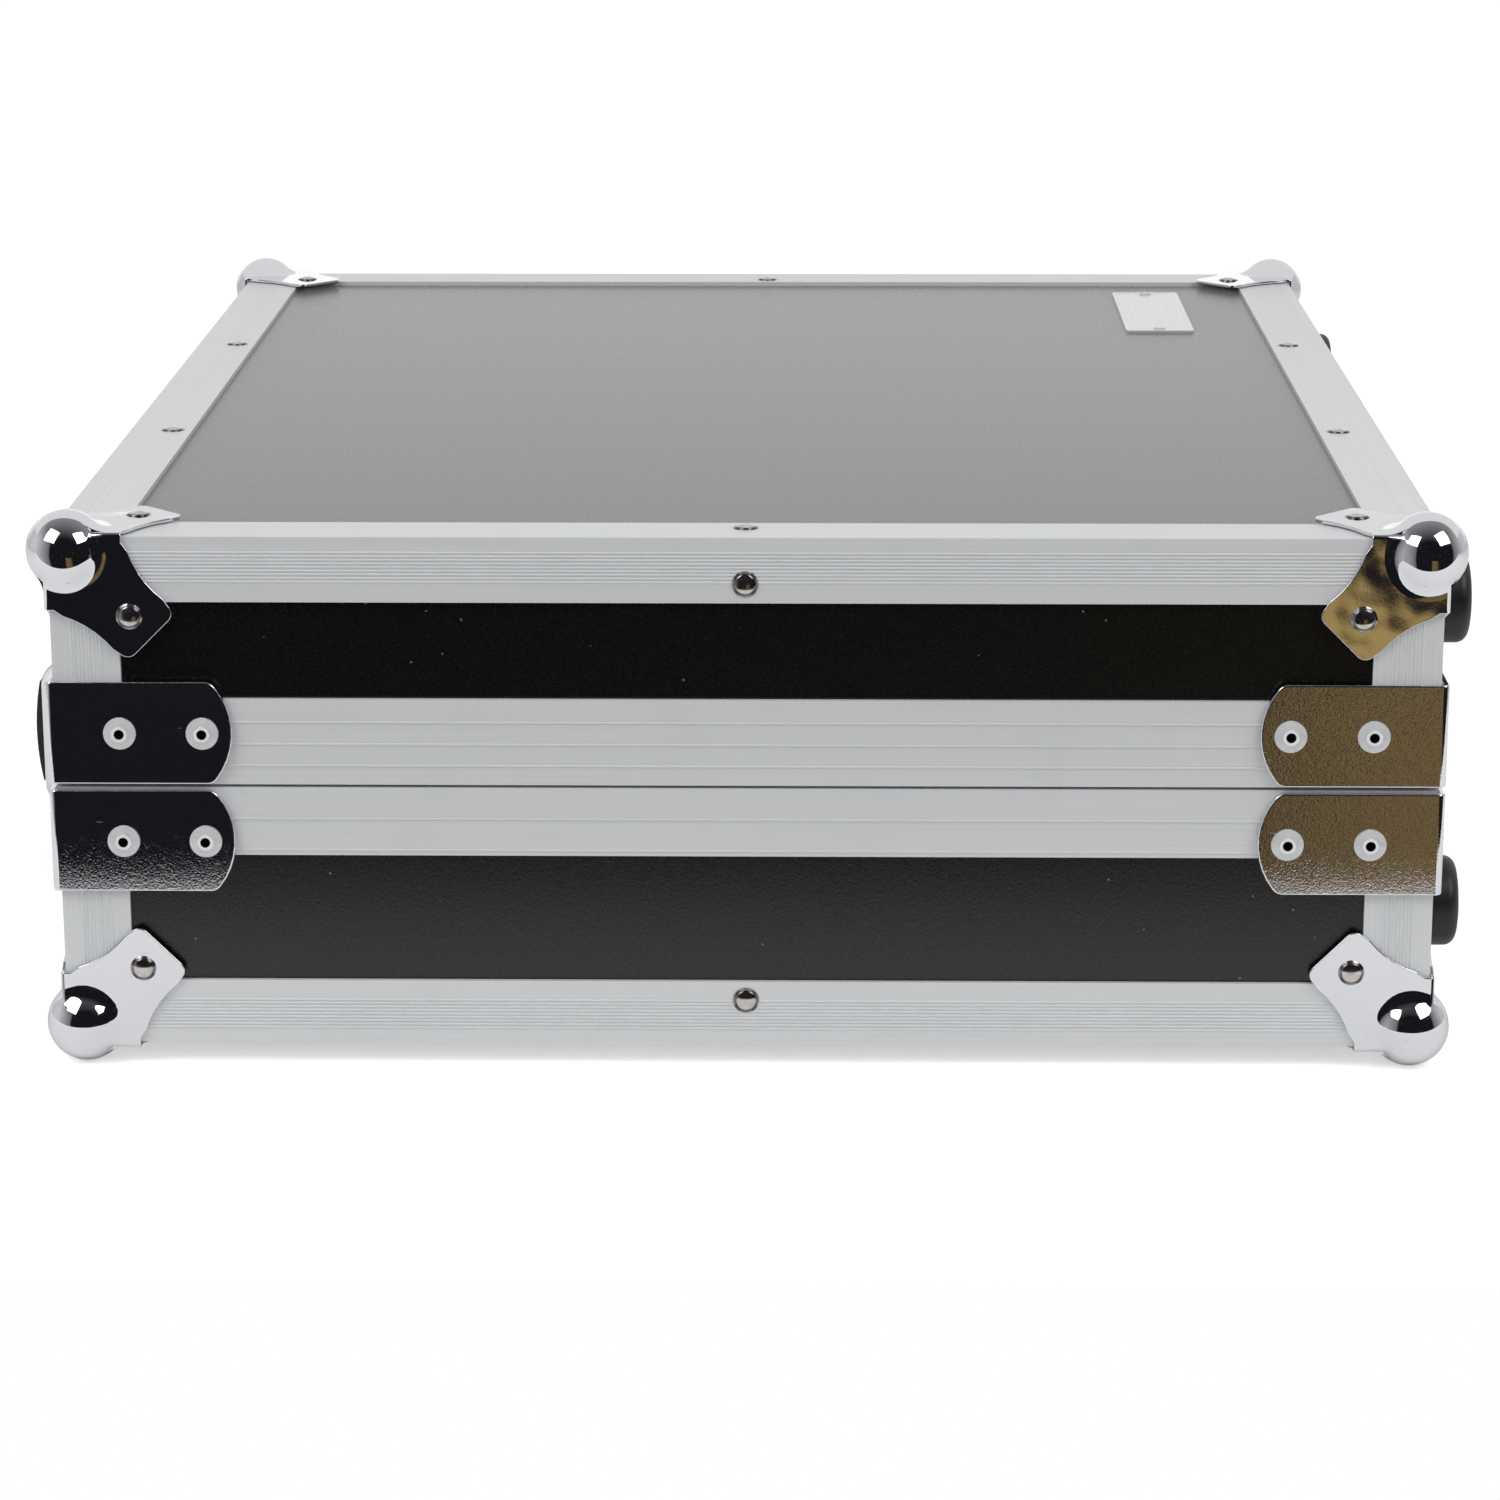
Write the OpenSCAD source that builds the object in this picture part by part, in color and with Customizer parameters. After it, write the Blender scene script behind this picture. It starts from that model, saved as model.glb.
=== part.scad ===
// Laptop flight case: laminated ply panels in aluminium edging, with a hinged lid.
// Sizes are in millimetres. The short end of the case faces -Y, the handle and the
// latches are on the front face, -X, and the hinges and rubber feet on the back, +X.

/* [Overall size] */
// Width over the edging, from the front face to the back face
case_w = 408; // [380:1:440]
// Length over the edging, from end to end
case_l = 480; // [450:1:520]
// Height of the base from its underside to its seam edge
base_h = 79.6; // [76:0.1:92]
// Height of the lid from its seam edge to its top
lid_h = 75; // [72:0.1:88]
// Gap between the base and the lid at the seam
seam_gap = 0.9; // [0.7:0.1:1.2]

/* [Panels] */
// Thickness of the laminated ply
ply_t = 7; // [6.5:0.1:7.5]

/* [Edging] */
// Wall of the aluminium angle
edge_t = 1.5; // [1.2:0.1:1.8]
// Width of the flange on the top, the underside and the posts
flange_w = 20.2; // [19:0.1:21]
// Height of the flange on the sides
flange_h = 19.6; // [19:0.1:20.2]
// How far a rib stands out of the flange
rib_h = 0.25; // [0.15:0.05:0.25]
// Number of ribs on a ribbed flange
rib_count = 9; // [5:1:9]
// Distance between ribs
rib_pitch = 1.09; // [0.9:0.01:1.1]
// Distance from the fold to the first rib
rib_start = 4.3; // [3.8:0.1:4.8]
// Clearance between lengths of edging where they meet
mitre_gap = 0.1; // [0.05:0.05:0.2]

/* [Seam extrusions] */
// Depth of the seam extrusion from its outer face to its inner face
rim_d = 10; // [9.8:0.1:10.4]
// Height of the outer skin of the base extrusion
base_skin_h = 20.9; // [20:0.1:22]
// Height of the outer skin of the lid extrusion
lid_skin_h = 26.1; // [25:0.1:27]
// Height of the inner skins
inner_skin_h = 21; // [20.5:0.1:21.5]
// Depth from the seam edge to the bottom of the panel slot
web_h = 7.6; // [7.2:0.1:8]
// Height of the tongue that stands on the base extrusion
tongue_h = 4.4; // [4:0.1:4.6]
// Width of the tongue where it leaves the extrusion
tongue_w = 2.8; // [2.4:0.1:2.9]
// Clearance on each side of the tongue at the mouth of the groove
groove_gap = 0.6; // [0.5:0.05:0.7]

/* [Ball corners] */
// Radius of the pressed ball
ball_r = 12; // [11.6:0.1:12.4]
// Distance from the case's faces in to the centre of the ball
ball_inset = 5; // [4.8:0.1:5.2]
// Thickness of the pressed steel
ball_t = 1.2; // [1:0.1:1.3]
// Radius of the hollow that blends the ball into its legs
blend_r = 7; // [5:0.1:7.5]
// Width of a leg where it folds over the edge
leg_root_w = 22; // [21.4:0.1:22.4]
// Distance from the fold to the centre of the rounded tips
leg_tip_u = 32.8; // [32.4:0.1:33.4]
// Distance across from the other fold to the centre of the rounded tips
leg_tip_v = 22.8; // [22.4:0.1:23.4]
// Radius of the rounded tips
leg_tip_r = 3.2; // [2.5:0.1:3.5]
// Distance from both folds to the leg's rivet
leg_rivet = 23.6; // [23:0.1:24]
// Radius of the hollow in a leg's sides
waist_r = 30; // [28:1:36]
// Depth of the hollow in a leg's sides
waist_in = 1.3; // [0.8:0.1:1.5]

/* [Seam brackets] */
// Length of each leg of the bracket
bracket_l = 53; // [52:0.5:56]
// Height of the bracket as a share of the lower of base and lid
bracket_h_share = 0.416; // [0.38:0.001:0.42]
// Thickness of the bracket
bracket_t = 2; // [1.5:0.1:2.2]
// Distance from the seam edge to the bracket
bracket_inset = 0.5; // [0.4:0.1:1]
// Radius of the corners at the free end
bracket_corner_r = 4; // [3.5:0.5:6]
// Radius of the bowed free end
bracket_bow_r = 23; // [22:1:60]
// Distance from the corner to the first rivet
bracket_rivet_near = 19.5; // [19:0.5:21]
// Distance from the corner to the second rivet
bracket_rivet_far = 43.9; // [43:0.1:44.5]

/* [Rivets] */
// Radius of a domed rivet's head
dome_r = 3.9; // [3.5:0.1:4.1]
// Height of a domed rivet's head
dome_h = 1.1; // [0.9:0.1:1.4]
// Radius of a blind rivet's flange
blind_r = 4.8; // [4.4:0.1:5]
// Radius of the rivet shanks
shank_r = 2.4; // [2:0.1:2.4]
// Clearance between a shank and its hole
shank_fit = 0.05; // [0.04:0.01:0.08]
// Radius of the spread tail of a rivet
tail_r = 3.5; // [3.2:0.1:3.6]
// Thickness of the spread tail
tail_t = 1.2; // [0.8:0.1:1.4]
// Distance from the fold to the rivets in the edging
edge_rivet = 13.8; // [13.4:0.1:14.4]

/* [Rubber feet] */
// Radius of a foot
foot_r = 13.9; // [13.5:0.1:14]
// How far a foot stands out of the edging's face
foot_out = 13.7; // [12:0.1:15]
// Radius of the foot's rounded rim
foot_round = 3.5; // [2:0.5:4]
// Distance along the case between a foot and the ball corner's leg
foot_leg_gap = 0.4; // [0.4:0.1:6]
// Distance between a foot of the base and the seam bracket over it
base_foot_gap = 3.7; // [0.4:0.1:4]
// Distance between a foot of the lid and the seam bracket under it
lid_foot_gap = 0.4; // [0.4:0.1:2]

/* [Hinges] */
// Distance between a hinge and the seam bracket
hinge_gap = 14; // [4:1:40]
// Width of a hinge
hinge_w = 62; // [58:1:66]
// Width of the lid's knuckle
knuckle_w = 22; // [18:1:26]
// Thickness of a leaf
leaf_t = 2; // [1.6:0.1:2.2]
// Height of a leaf from the pin's axis
leaf_h = 20; // [19:0.5:20.5]
// Outer radius of the knuckles
knuckle_r = 4; // [3.6:0.1:4]
// Radius of the pin
hinge_pin_r = 2; // [1.8:0.1:2.2]
// Distance from the edging's face out to the pin's axis
hinge_out = 4.5; // [4.4:0.1:4.8]

/* [Latches] */
// Distance between the bottom edging and the latch dish's flange
dish_edge_gap = 4.7; // [3:0.1:6]
// Drop of the spindle below the dish's top as a share of the dish's height
spindle_share = 0.3125; // [0.305:0.0005:0.32]
// Width of the dish's flange on each side
dish_flange_w = 10.8; // [10:0.1:12]
// Thickness of the pressed dish
dish_t = 1.2; // [1:0.1:1.3]
// Depth of the dish floor behind the edging's face
dish_floor = 6.4; // [6:0.1:6.6]
// Height of the lid's catch dish over the seam edge
catch_h = 23.3; // [22.5:0.1:24]
// Distance from the spindle to the catch stud as a share of the dish's height
stud_share = 0.4036; // [0.4:0.0001:0.41]
// Radius of the catch stud
stud_r = 2.5; // [2.2:0.1:2.6]
// Radial width of the claw
claw_w = 5.2; // [4.5:0.1:5.4]
// Half of the angle that the claw's arc spans
claw_half_angle = 36; // [30:1:40]

/* [Handle] */
// Distance between the bottom edging and the mounting plate
handle_low_gap = 3.4; // [2:0.1:6]
// Distance between the seam edge and the mounting plate
handle_top_gap = 5; // [3:0.1:7]
// Half length of the mounting plate as a share of the case's length
handle_share = 0.1458; // [0.135:0.0001:0.15]
// Thickness of a cheek
cheek_t = 2.2; // [1.8:0.1:2.4]
// How far the grip's long edges stand out of the edging's face
grip_out = 37.3; // [36:0.1:38]
// How far the cheeks stay behind the grip's long edges
cheek_back = 1.7; // [1.4:0.1:2]
// Radius of the cheek's rounded corners
cheek_round = 9; // [7:0.5:10]
// Thickness of the grip
grip_t = 28; // [26:0.5:28]
// How much lower the grip is than the cheeks
grip_low = 17; // [16.6:0.1:20]
// Radius of the grip's long edges
grip_round = 8; // [6:0.5:10]
// Bulge of the grip's outer face
grip_bulge = 1.7; // [1.2:0.1:2]

/* [Foam] */
// Thickness of the foam on the floor of the base
foam_floor_t = 20; // [15:1:25]
// Thickness of the foam along the walls
foam_wall_t = 22; // [18:1:26]
// Thickness of the foam pad in the lid
foam_lid_t = 24; // [18:1:26]
// Clearance between foam and panels
foam_gap = 0.4; // [0.3:0.1:0.6]

/* [Hidden] */
$fn = 64;
eps = 0.01;
overrun = 2;
SIDES = ["near", "back", "far", "front"];

half_w = case_w / 2;
half_l = case_l / 2;
case_h = base_h + seam_gap + lid_h;
hole_r = shank_r + shank_fit;
inner_d = edge_t + ply_t;

// Ribs and lines are rooted this deep in their flange
root = 0.5;

// The seam extrusion's slot for the panel
slot_gap = 0.1;
slot_d = inner_d + slot_gap;
tongue_mid = rim_d / 2;
tongue_taper = 0.6;
groove_h = tongue_h + groove_gap;
line_w = 0.8;
base_line_drops = [9.7, 19.3];
lid_line_drops = [5.8, 12.3, 19];

// What stands on a ribbed or lined face clears its ribs
rib_clear = 0.03;
seat_gap = rib_h + rib_clear;
leg_outer = seat_gap + ball_t;
ball_out = ball_r - ball_inset;
blend_rise = blend_r + ball_inset + leg_outer;
blend_run = sqrt(pow(ball_r + blend_r, 2) - pow(blend_rise, 2));
blend_touch_share = ball_r / (ball_r + blend_r);
skirt_in = blend_run * blend_touch_share;
skirt_up = blend_rise * blend_touch_share - ball_inset - leg_outer;
leg_shoulder = 1.5;
tip_dx = leg_tip_u - leg_root_w;
tip_dy = leg_tip_v - leg_shoulder;
tip_dist = norm([tip_dx, tip_dy]);
tip_turn = atan2(tip_dy, tip_dx) - asin(leg_tip_r / tip_dist);
tip_run = sqrt(pow(tip_dist, 2) - pow(leg_tip_r, 2));
tip_touch = [leg_root_w + tip_run * cos(tip_turn), leg_shoulder + tip_run * sin(tip_turn)];
tip_diagonal = leg_tip_r * cos(45);
waist_reach = waist_r - waist_in;
waist_at = [
    leg_root_w + tip_run / 2 * cos(tip_turn) + waist_reach * sin(tip_turn),
    leg_shoulder + tip_run / 2 * sin(tip_turn) - waist_reach * cos(tip_turn)
];

bracket_h = bracket_h_share * min(base_h, lid_h);
bracket_low = bracket_inset + bracket_h;
bracket_drop = bracket_inset + bracket_h / 2;
bracket_outer = seat_gap + bracket_t;
bow_x = bracket_l - bracket_bow_r;
bow_half = bracket_h / 2 - bracket_corner_r;
bow_inner_r = bracket_bow_r - bracket_corner_r;
bow_corner_x = bow_x + sqrt(pow(bow_inner_r, 2) - pow(bow_half, 2));
bow_low = bracket_h / 2 - bow_half * bracket_bow_r / bow_inner_r;

foot_y = half_l - leg_tip_u - leg_tip_r - foot_leg_gap - foot_r;
base_foot_z = base_h - bracket_low - base_foot_gap - foot_r;
lid_foot_z = lid_h - bracket_low - lid_foot_gap - foot_r;
foot_recess_r = 6.5;
foot_recess_h = 9;
foot_seat = foot_out - foot_recess_h;

pin_fit = 0.05;
side_play = 0.3;
hinge_z = base_h + seam_gap / 2;
hinge_y = half_l - bracket_l - hinge_gap - hinge_w / 2;
leaf_outer = seat_gap + leaf_t;
leaf_rivet_drop = 13.5;
leaf_rivet_pitch = 22;
knuckle_clear = knuckle_r + side_play;
pin_head_r = 3.2;
pin_head_t = 1;

dish_gap = 0.4;
dish_back_gap = 0.2;
catch_lip = 1.2;
claw_clear = 1.5;
dish_side_gap = 1;
dish_top_z = base_h - dish_gap;
dish_h = dish_top_z - flange_h - dish_edge_gap;
spindle_z = dish_top_z - spindle_share * dish_h;
stud_reach = stud_share * dish_h;
stud_play = 1;
claw_in_r = stud_reach + stud_r + stud_play;
claw_out_r = claw_in_r + claw_w;
claw_low = dish_floor - dish_gap;
claw_t = 2.6;
spoke_w = 6;
hub_r = 8;
skin_low_z = base_h - base_skin_h;
dish_half_w = claw_out_r + dish_side_gap;
dish_flange_half_w = dish_half_w + dish_flange_w;
dish_outer_half_w = dish_half_w + dish_t;
dish_cut_half_w = dish_outer_half_w + dish_gap;
dish_back = dish_floor + dish_t;
dish_cut_d = dish_back + dish_back_gap;
dish_flange_outer = seat_gap + dish_t;
dish_low_z = spindle_z - claw_out_r - claw_clear;
dish_flange_low_z = flange_h + dish_edge_gap;
catch_low_z = base_h + seam_gap + dish_gap;
catch_top_z = base_h + seam_gap + catch_h;
catch_flange_top_z = catch_top_z + catch_lip;
dish_rivet_in = 6;
dish_rivet_u = dish_half_w + dish_rivet_in;
dish_rivet_low_z = dish_flange_low_z + dish_rivet_in;
dish_rivet_high_z = dish_top_z - 2 * dish_rivet_in;
catch_rivet_drop = 15;
key_low = claw_low - claw_t;
key_t = 3.2;
key_edge = 0.15;
key_r = dish_top_z - spindle_z - key_edge;
stud_low = claw_low - claw_t + side_play;
pivot_r = 3;
pivot_head_r = 5;
pivot_head_t = 1;
pivot_tail_r = 4.5;
pivot_tail_t = 0.8;
pivot_head_d = key_low - key_t - side_play;
flap_axis_share = 0.47;
flap_axis_drop = flap_axis_share * key_r;
flap_over = 2.5;
flap_r = key_r + flap_over;
flap_t = 2.4;
flap_barrel_r = 1.6;
flap_pin_r = 1;
flap_half_share = 0.645;
flap_half = flap_half_share * key_r;
lug_w = 2.6;
flap_out = flap_barrel_r + side_play - (key_low - key_t);

plate_t = 2;
plate_outer = seat_gap + plate_t;
handle_low_z = flange_h + handle_low_gap;
handle_top_z = base_h - handle_top_gap;
handle_h = handle_top_z - handle_low_z;
handle_plate_half = handle_share * case_l;
cheek_in = 4;
cheek_out = grip_out - cheek_back;
cheek_y = handle_plate_half - cheek_in;
grip_h = handle_h - grip_low;
grip_in = 4.5;
grip_half = cheek_y - grip_in;
pivot_drop = 9.1;
handle_pivot_z = handle_top_z - pivot_drop;
handle_pivot_out = 13;
handle_pin_r = 3;
handle_pin_head_r = 5;
handle_pin_head_t = 1.4;
arm_t = 3;
arm_play = 0.4;
arm_y = grip_half + arm_play;
arm_root_r = 6.5;
arm_half_w = 6;
arm_grip_r = 10;
grip_drop = 0.5;
grip_z = (handle_low_z + handle_top_z) / 2 - grip_drop;
grip_mid_out = grip_out - grip_t / 2;
core_r = 4;
stop_w = 8;
handle_rivet_in = 20;
handle_rivet_y = handle_plate_half - handle_rivet_in;
handle_rivet_up = 8;
handle_rivet_drop = 6.6;
handle_rivet_low_z = handle_low_z + handle_rivet_up;
handle_rivet_high_z = handle_top_z - handle_rivet_drop;
latch_y = (handle_plate_half + half_l - bracket_l) / 2;

foam_d = rim_d + tail_t + foam_gap;
foam_top_gap = 1;

// The feature that stands out most at the front and at the back centres the part
handle_reach = grip_out + grip_bulge;
shift_x = (handle_reach - foot_out) / 2;

alu = "silver";
chrome = "gainsboro";
laminate = "dimgray";
rubber = "black";
foam = "darkslategray";

// Frames

// Shifts the case so that it stands on z = 0 with its outline centred in x.
module placed() {
    translate([shift_x, 0, ball_out])
        children();
}

// Turns a half of the case over, for the lid.
module lid_side_up() {
    translate([0, 0, case_h])
        mirror([0, 0, 1])
            children();
}

function side_turn(side) = side == "near" ? 0 : side == "back" ? 90 : side == "far" ? 180 : 270;

function is_end(side) = side == "near" || side == "far";

function side_reach(side) = is_end(side) ? half_l : half_w;

function side_half(side) = is_end(side) ? half_w : half_l;

// Gives its children a side's own frame: x along the side, y inward from the edging's
// outer face, z up from the underside of the case.
module on_side(side) {
    rotate([0, 0, side_turn(side)])
        translate([0, -side_reach(side), 0])
            children();
}

// Puts its children, drawn with the case's corner at the origin, at the four corners.
module at_corners() {
    for (flip_x = [0, 1], flip_y = [0, 1])
        mirror([flip_x, 0, 0])
            mirror([0, flip_y, 0])
                translate([-half_w, -half_l, 0])
                    children();
}

// Turns a solid that is drawn with its outer end up so that it points out of a side.
module outward() {
    rotate([90, 0, 0])
        children();
}

// A bar along x with its section drawn in y and z.
module bar(half) {
    translate([-half, 0, 0])
        rotate([90, 0, 90])
            linear_extrude(height = 2 * half)
                children();
}

// The space of one side between its two mitred corners.
module mitre_space(half, depth) {
    reach = half + overrun - mitre_gap;
    inner = half - depth - overrun - mitre_gap;
    translate([0, 0, -overrun])
        linear_extrude(height = case_h + 2 * overrun)
            polygon([
                [-reach, -overrun], [reach, -overrun], [inner, depth + overrun], [-inner, depth + overrun]
            ]);
}

// Rivet places

// Places of the domed rivets along a side's edging.
function edge_rivets(side) = is_end(side) ? [0] : [-case_l / 6, case_l / 6];

// Places of the blind rivets in a side of one half: [along, up, seat, depth], where seat is
// how far out the head sits and depth is where the tail lies behind the edging's face.
function bracket_rivets(side, rim) = [
    for (turn = [-1, 1], reach = [bracket_rivet_near, bracket_rivet_far])
        [turn * (side_half(side) - reach), rim - bracket_drop, bracket_outer, rim_d]
];

function hinge_rivets(rim) = [
    for (turn = [-1, 1], step = [-1, 0, 1])
        [turn * hinge_y + step * leaf_rivet_pitch, rim - leaf_rivet_drop, leaf_outer, rim_d]
];

function foot_rivets(up) = [
    for (turn = [-1, 1])
        [turn * foot_y, up, foot_seat, inner_d]
];

function dish_rivets() = [
    for (turn = [-1, 1], step = [-1, 1], high = [false, true])
        [
            turn * latch_y + step * dish_rivet_u,
            high ? dish_rivet_high_z : dish_rivet_low_z,
            high ? dish_flange_outer : dish_t - edge_t,
            high ? rim_d : inner_d
        ]
];

function catch_rivets() = [
    for (turn = [-1, 1], step = [-1, 1])
        [turn * latch_y + step * dish_rivet_u, lid_h - catch_rivet_drop, dish_flange_outer, rim_d]
];

function handle_rivets() = [
    for (turn = [-1, 1], up = [handle_rivet_low_z, handle_rivet_high_z])
        [turn * handle_rivet_y, up, plate_outer, up > skin_low_z ? rim_d : inner_d]
];

function base_side_rivets(side) = concat(
    bracket_rivets(side, base_h),
    side == "back" ? concat(hinge_rivets(base_h), foot_rivets(base_foot_z)) : [],
    side == "front" ? concat(dish_rivets(), handle_rivets()) : []
);

function lid_side_rivets(side) = concat(
    bracket_rivets(side, lid_h),
    side == "back" ? concat(hinge_rivets(lid_h), foot_rivets(lid_foot_z)) : [],
    side == "front" ? catch_rivets() : []
);

// Holes for a list of blind rivets.
module blind_holes(rivets) {
    for (rivet = rivets)
        translate([rivet[0], -foot_out - overrun, rivet[1]])
            rotate([-90, 0, 0])
                cylinder(r = hole_r, h = foot_out + rim_d + 2 * overrun);
}

// Holes for the domed rivets in a side, through its edging and its wall.
module side_dome_holes(side) {
    for (along = edge_rivets(side))
        translate([along, -overrun, edge_rivet])
            rotate([-90, 0, 0])
                cylinder(r = hole_r, h = inner_d + 2 * overrun);
    for (turn = [-1, 1])
        translate([turn * (side_half(side) - leg_rivet), -overrun, leg_rivet])
            rotate([-90, 0, 0])
                cylinder(r = hole_r, h = inner_d + 2 * overrun);
}

// Holes for the domed rivets in the flat panel and the flanges that hold it.
module flat_dome_holes() {
    for (side = SIDES)
        on_side(side)
            for (along = edge_rivets(side))
                translate([along, edge_rivet, -overrun])
                    cylinder(r = hole_r, h = inner_d + 2 * overrun);
    at_corners()
        translate([leg_rivet, leg_rivet, -overrun])
            cylinder(r = hole_r, h = inner_d + 2 * overrun);
}

// Panels

// The floor of the base, or the top of the lid turned over.
module flat_panel() {
    difference() {
        translate([edge_t - half_w, edge_t - half_l, edge_t])
            cube([case_w - 2 * edge_t, case_l - 2 * edge_t, ply_t]);
        flat_dome_holes();
    }
}

// One wall of a half. The end walls run across the whole width, and the front and back
// walls stand between them.
module wall(side, rim, rivets) {
    half = side_half(side) - (is_end(side) ? edge_t : inner_d);
    difference() {
        translate([-half, edge_t, inner_d])
            cube([2 * half, ply_t, rim - web_h - inner_d]);
        side_dome_holes(side);
        blind_holes(rivets);
    }
}

// Space for the latch dishes in the front of a half, from a height up to its rim.
module dish_space(low, high, depth) {
    for (turn = [-1, 1])
        translate([turn * latch_y - dish_cut_half_w, -overrun, low])
            cube([2 * dish_cut_half_w, depth + overrun, high - low]);
}

module base_wall(side) {
    color(laminate) placed() on_side(side)
        difference() {
            wall(side, base_h, base_side_rivets(side));
            if (side == "front")
                dish_space(dish_low_z - dish_t - overrun / 2, base_h, rim_d);
        }
}

module lid_wall(side) {
    color(laminate) placed() lid_side_up() on_side(side)
        difference() {
            wall(side, lid_h, lid_side_rivets(side));
            if (side == "front")
                dish_space(case_h - catch_top_z - dish_t - overrun / 2, lid_h, rim_d);
        }
}

// Edging

// Ribs on the face y = 0 of a section, from the first rib's height up.
module rib_section(start) {
    for (rib = [0 : rib_count - 1])
        translate([0, start + rib * rib_pitch])
            polygon([
                [root, 0], [root, rib_pitch * 3 / 4], [0, rib_pitch * 3 / 4],
                [-rib_h, rib_pitch / 2], [-rib_h, rib_pitch / 4], [0, 0]
            ]);
}

// The angle's section: flat flange along y, ribbed flange up the face y = 0.
module angle_section(flat, up, rib_low) {
    square([flat, edge_t]);
    square([edge_t, up]);
    rib_section(rib_low);
}

module half_edge(side, rivets) {
    difference() {
        intersection() {
            bar(side_half(side) + overrun)
                angle_section(flange_w, flange_h, rib_start);
            mitre_space(side_half(side), flange_w);
        }
        for (along = edge_rivets(side)) {
            translate([along, edge_rivet, -overrun])
                cylinder(r = hole_r, h = edge_t + 2 * overrun);
            translate([along, -overrun, edge_rivet])
                rotate([-90, 0, 0])
                    cylinder(r = hole_r, h = edge_t + 2 * overrun);
        }
        blind_holes(rivets);
    }
}

module base_edge(side) {
    color(alu) placed() on_side(side)
        half_edge(side, base_side_rivets(side));
}

module lid_edge(side) {
    color(alu) placed() lid_side_up() on_side(side)
        half_edge(side, lid_side_rivets(side));
}

// The four upright angles of a half, ribbed on the ends of the case.
module posts(rim, skin) {
    low = flange_h + mitre_gap;
    high = rim - skin - mitre_gap;
    at_corners()
        translate([0, 0, low])
            linear_extrude(height = high - low)
                mirror([1, -1])
                    angle_section(flange_w, flange_w, rib_start + rib_pitch);
}

module base_posts() {
    color(alu) placed()
        difference() {
            posts(base_h, base_skin_h);
            for (side = SIDES)
                on_side(side)
                    blind_holes(bracket_rivets(side, base_h));
        }
}

module lid_posts() {
    color(alu) placed() lid_side_up()
        difference() {
            posts(lid_h, lid_skin_h);
            for (side = SIDES)
                on_side(side)
                    blind_holes(bracket_rivets(side, lid_h));
        }
}

// Seam extrusions, drawn with y inward and z up to the seam edge at zero

module line_section(drops) {
    for (drop = drops)
        translate([0, -drop])
            polygon([
                [root, -line_w / 2], [root, line_w / 2], [0, line_w / 2],
                [-rib_h, line_w / 4], [-rib_h, -line_w / 4], [0, -line_w / 2]
            ]);
}

module rim_section(skin, drops) {
    translate([0, -web_h])
        square([rim_d, web_h]);
    translate([0, -skin])
        square([edge_t, skin]);
    translate([slot_d, -inner_skin_h])
        square([rim_d - slot_d, inner_skin_h]);
    line_section(drops);
}

module tongue_section() {
    half_low = tongue_w / 2;
    half_high = half_low - tongue_taper;
    polygon([
        [tongue_mid - half_low, -root], [tongue_mid + half_low, -root], [tongue_mid + half_low, 0],
        [tongue_mid + half_high, tongue_h], [tongue_mid - half_high, tongue_h], [tongue_mid - half_low, 0]
    ]);
}

module groove_section() {
    half_low = tongue_w / 2 + groove_gap;
    half_high = half_low - tongue_taper;
    polygon([
        [tongue_mid - half_low, eps], [tongue_mid + half_low, eps],
        [tongue_mid + half_high, -groove_h], [tongue_mid - half_high, -groove_h]
    ]);
}

// The hollow inside the base extrusion, under its tongue.
module chamber_section() {
    wall_t = edge_t + slot_gap;
    translate([wall_t, wall_t - web_h])
        square([rim_d - 2 * wall_t, web_h - 2 * wall_t]);
}

module rim_length(side, rim, rivets) {
    difference() {
        intersection() {
            translate([0, 0, rim])
                bar(side_half(side) + overrun)
                    children();
            mitre_space(side_half(side), rim_d);
        }
        blind_holes(rivets);
    }
}

module base_rim(side) {
    color(alu) placed() on_side(side)
        difference() {
            rim_length(side, base_h, base_side_rivets(side))
                difference() {
                    union() {
                        rim_section(base_skin_h, base_line_drops);
                        tongue_section();
                    }
                    chamber_section();
                }
            if (side == "front")
                dish_space(0, case_h, dish_cut_d);
        }
}

module lid_rim(side) {
    color(alu) placed() lid_side_up() on_side(side)
        difference() {
            rim_length(side, lid_h, lid_side_rivets(side))
                difference() {
                    rim_section(lid_skin_h, lid_line_drops);
                    groove_section();
                }
            if (side == "front")
                dish_space(case_h - catch_flange_top_z + mitre_gap, case_h, dish_cut_d);
        }
}

// Ball corners, drawn with the case's corner at the origin and the case in +x, +y, +z

// The outline of a leg on one face of the case, symmetric about the face's diagonal,
// with a hollow waist in each side.
module leg_outline() {
    tips = [[leg_tip_u, leg_tip_v], [leg_tip_v, leg_tip_u]];
    difference() {
        polygon([
            [-seat_gap, -seat_gap], [leg_root_w, -seat_gap], [leg_root_w, leg_shoulder], tip_touch,
            [leg_tip_u + tip_diagonal, leg_tip_v + tip_diagonal],
            [leg_tip_v + tip_diagonal, leg_tip_u + tip_diagonal],
            [tip_touch[1], tip_touch[0]], [leg_shoulder, leg_root_w], [-seat_gap, leg_root_w]
        ]);
        for (waist = [waist_at, [waist_at[1], waist_at[0]]])
            translate(waist)
                circle(r = waist_r);
    }
    for (tip = tips)
        translate(tip)
            circle(r = leg_tip_r);
}

// The hollow blend between the ball and a leg: a ring with a round cut out of it.
module blend_ring() {
    rotate_extrude()
        difference() {
            translate([skirt_in, 0])
                square([blend_run - skirt_in, skirt_up]);
            translate([blend_run, blend_r])
                circle(r = blend_r);
        }
}

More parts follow.
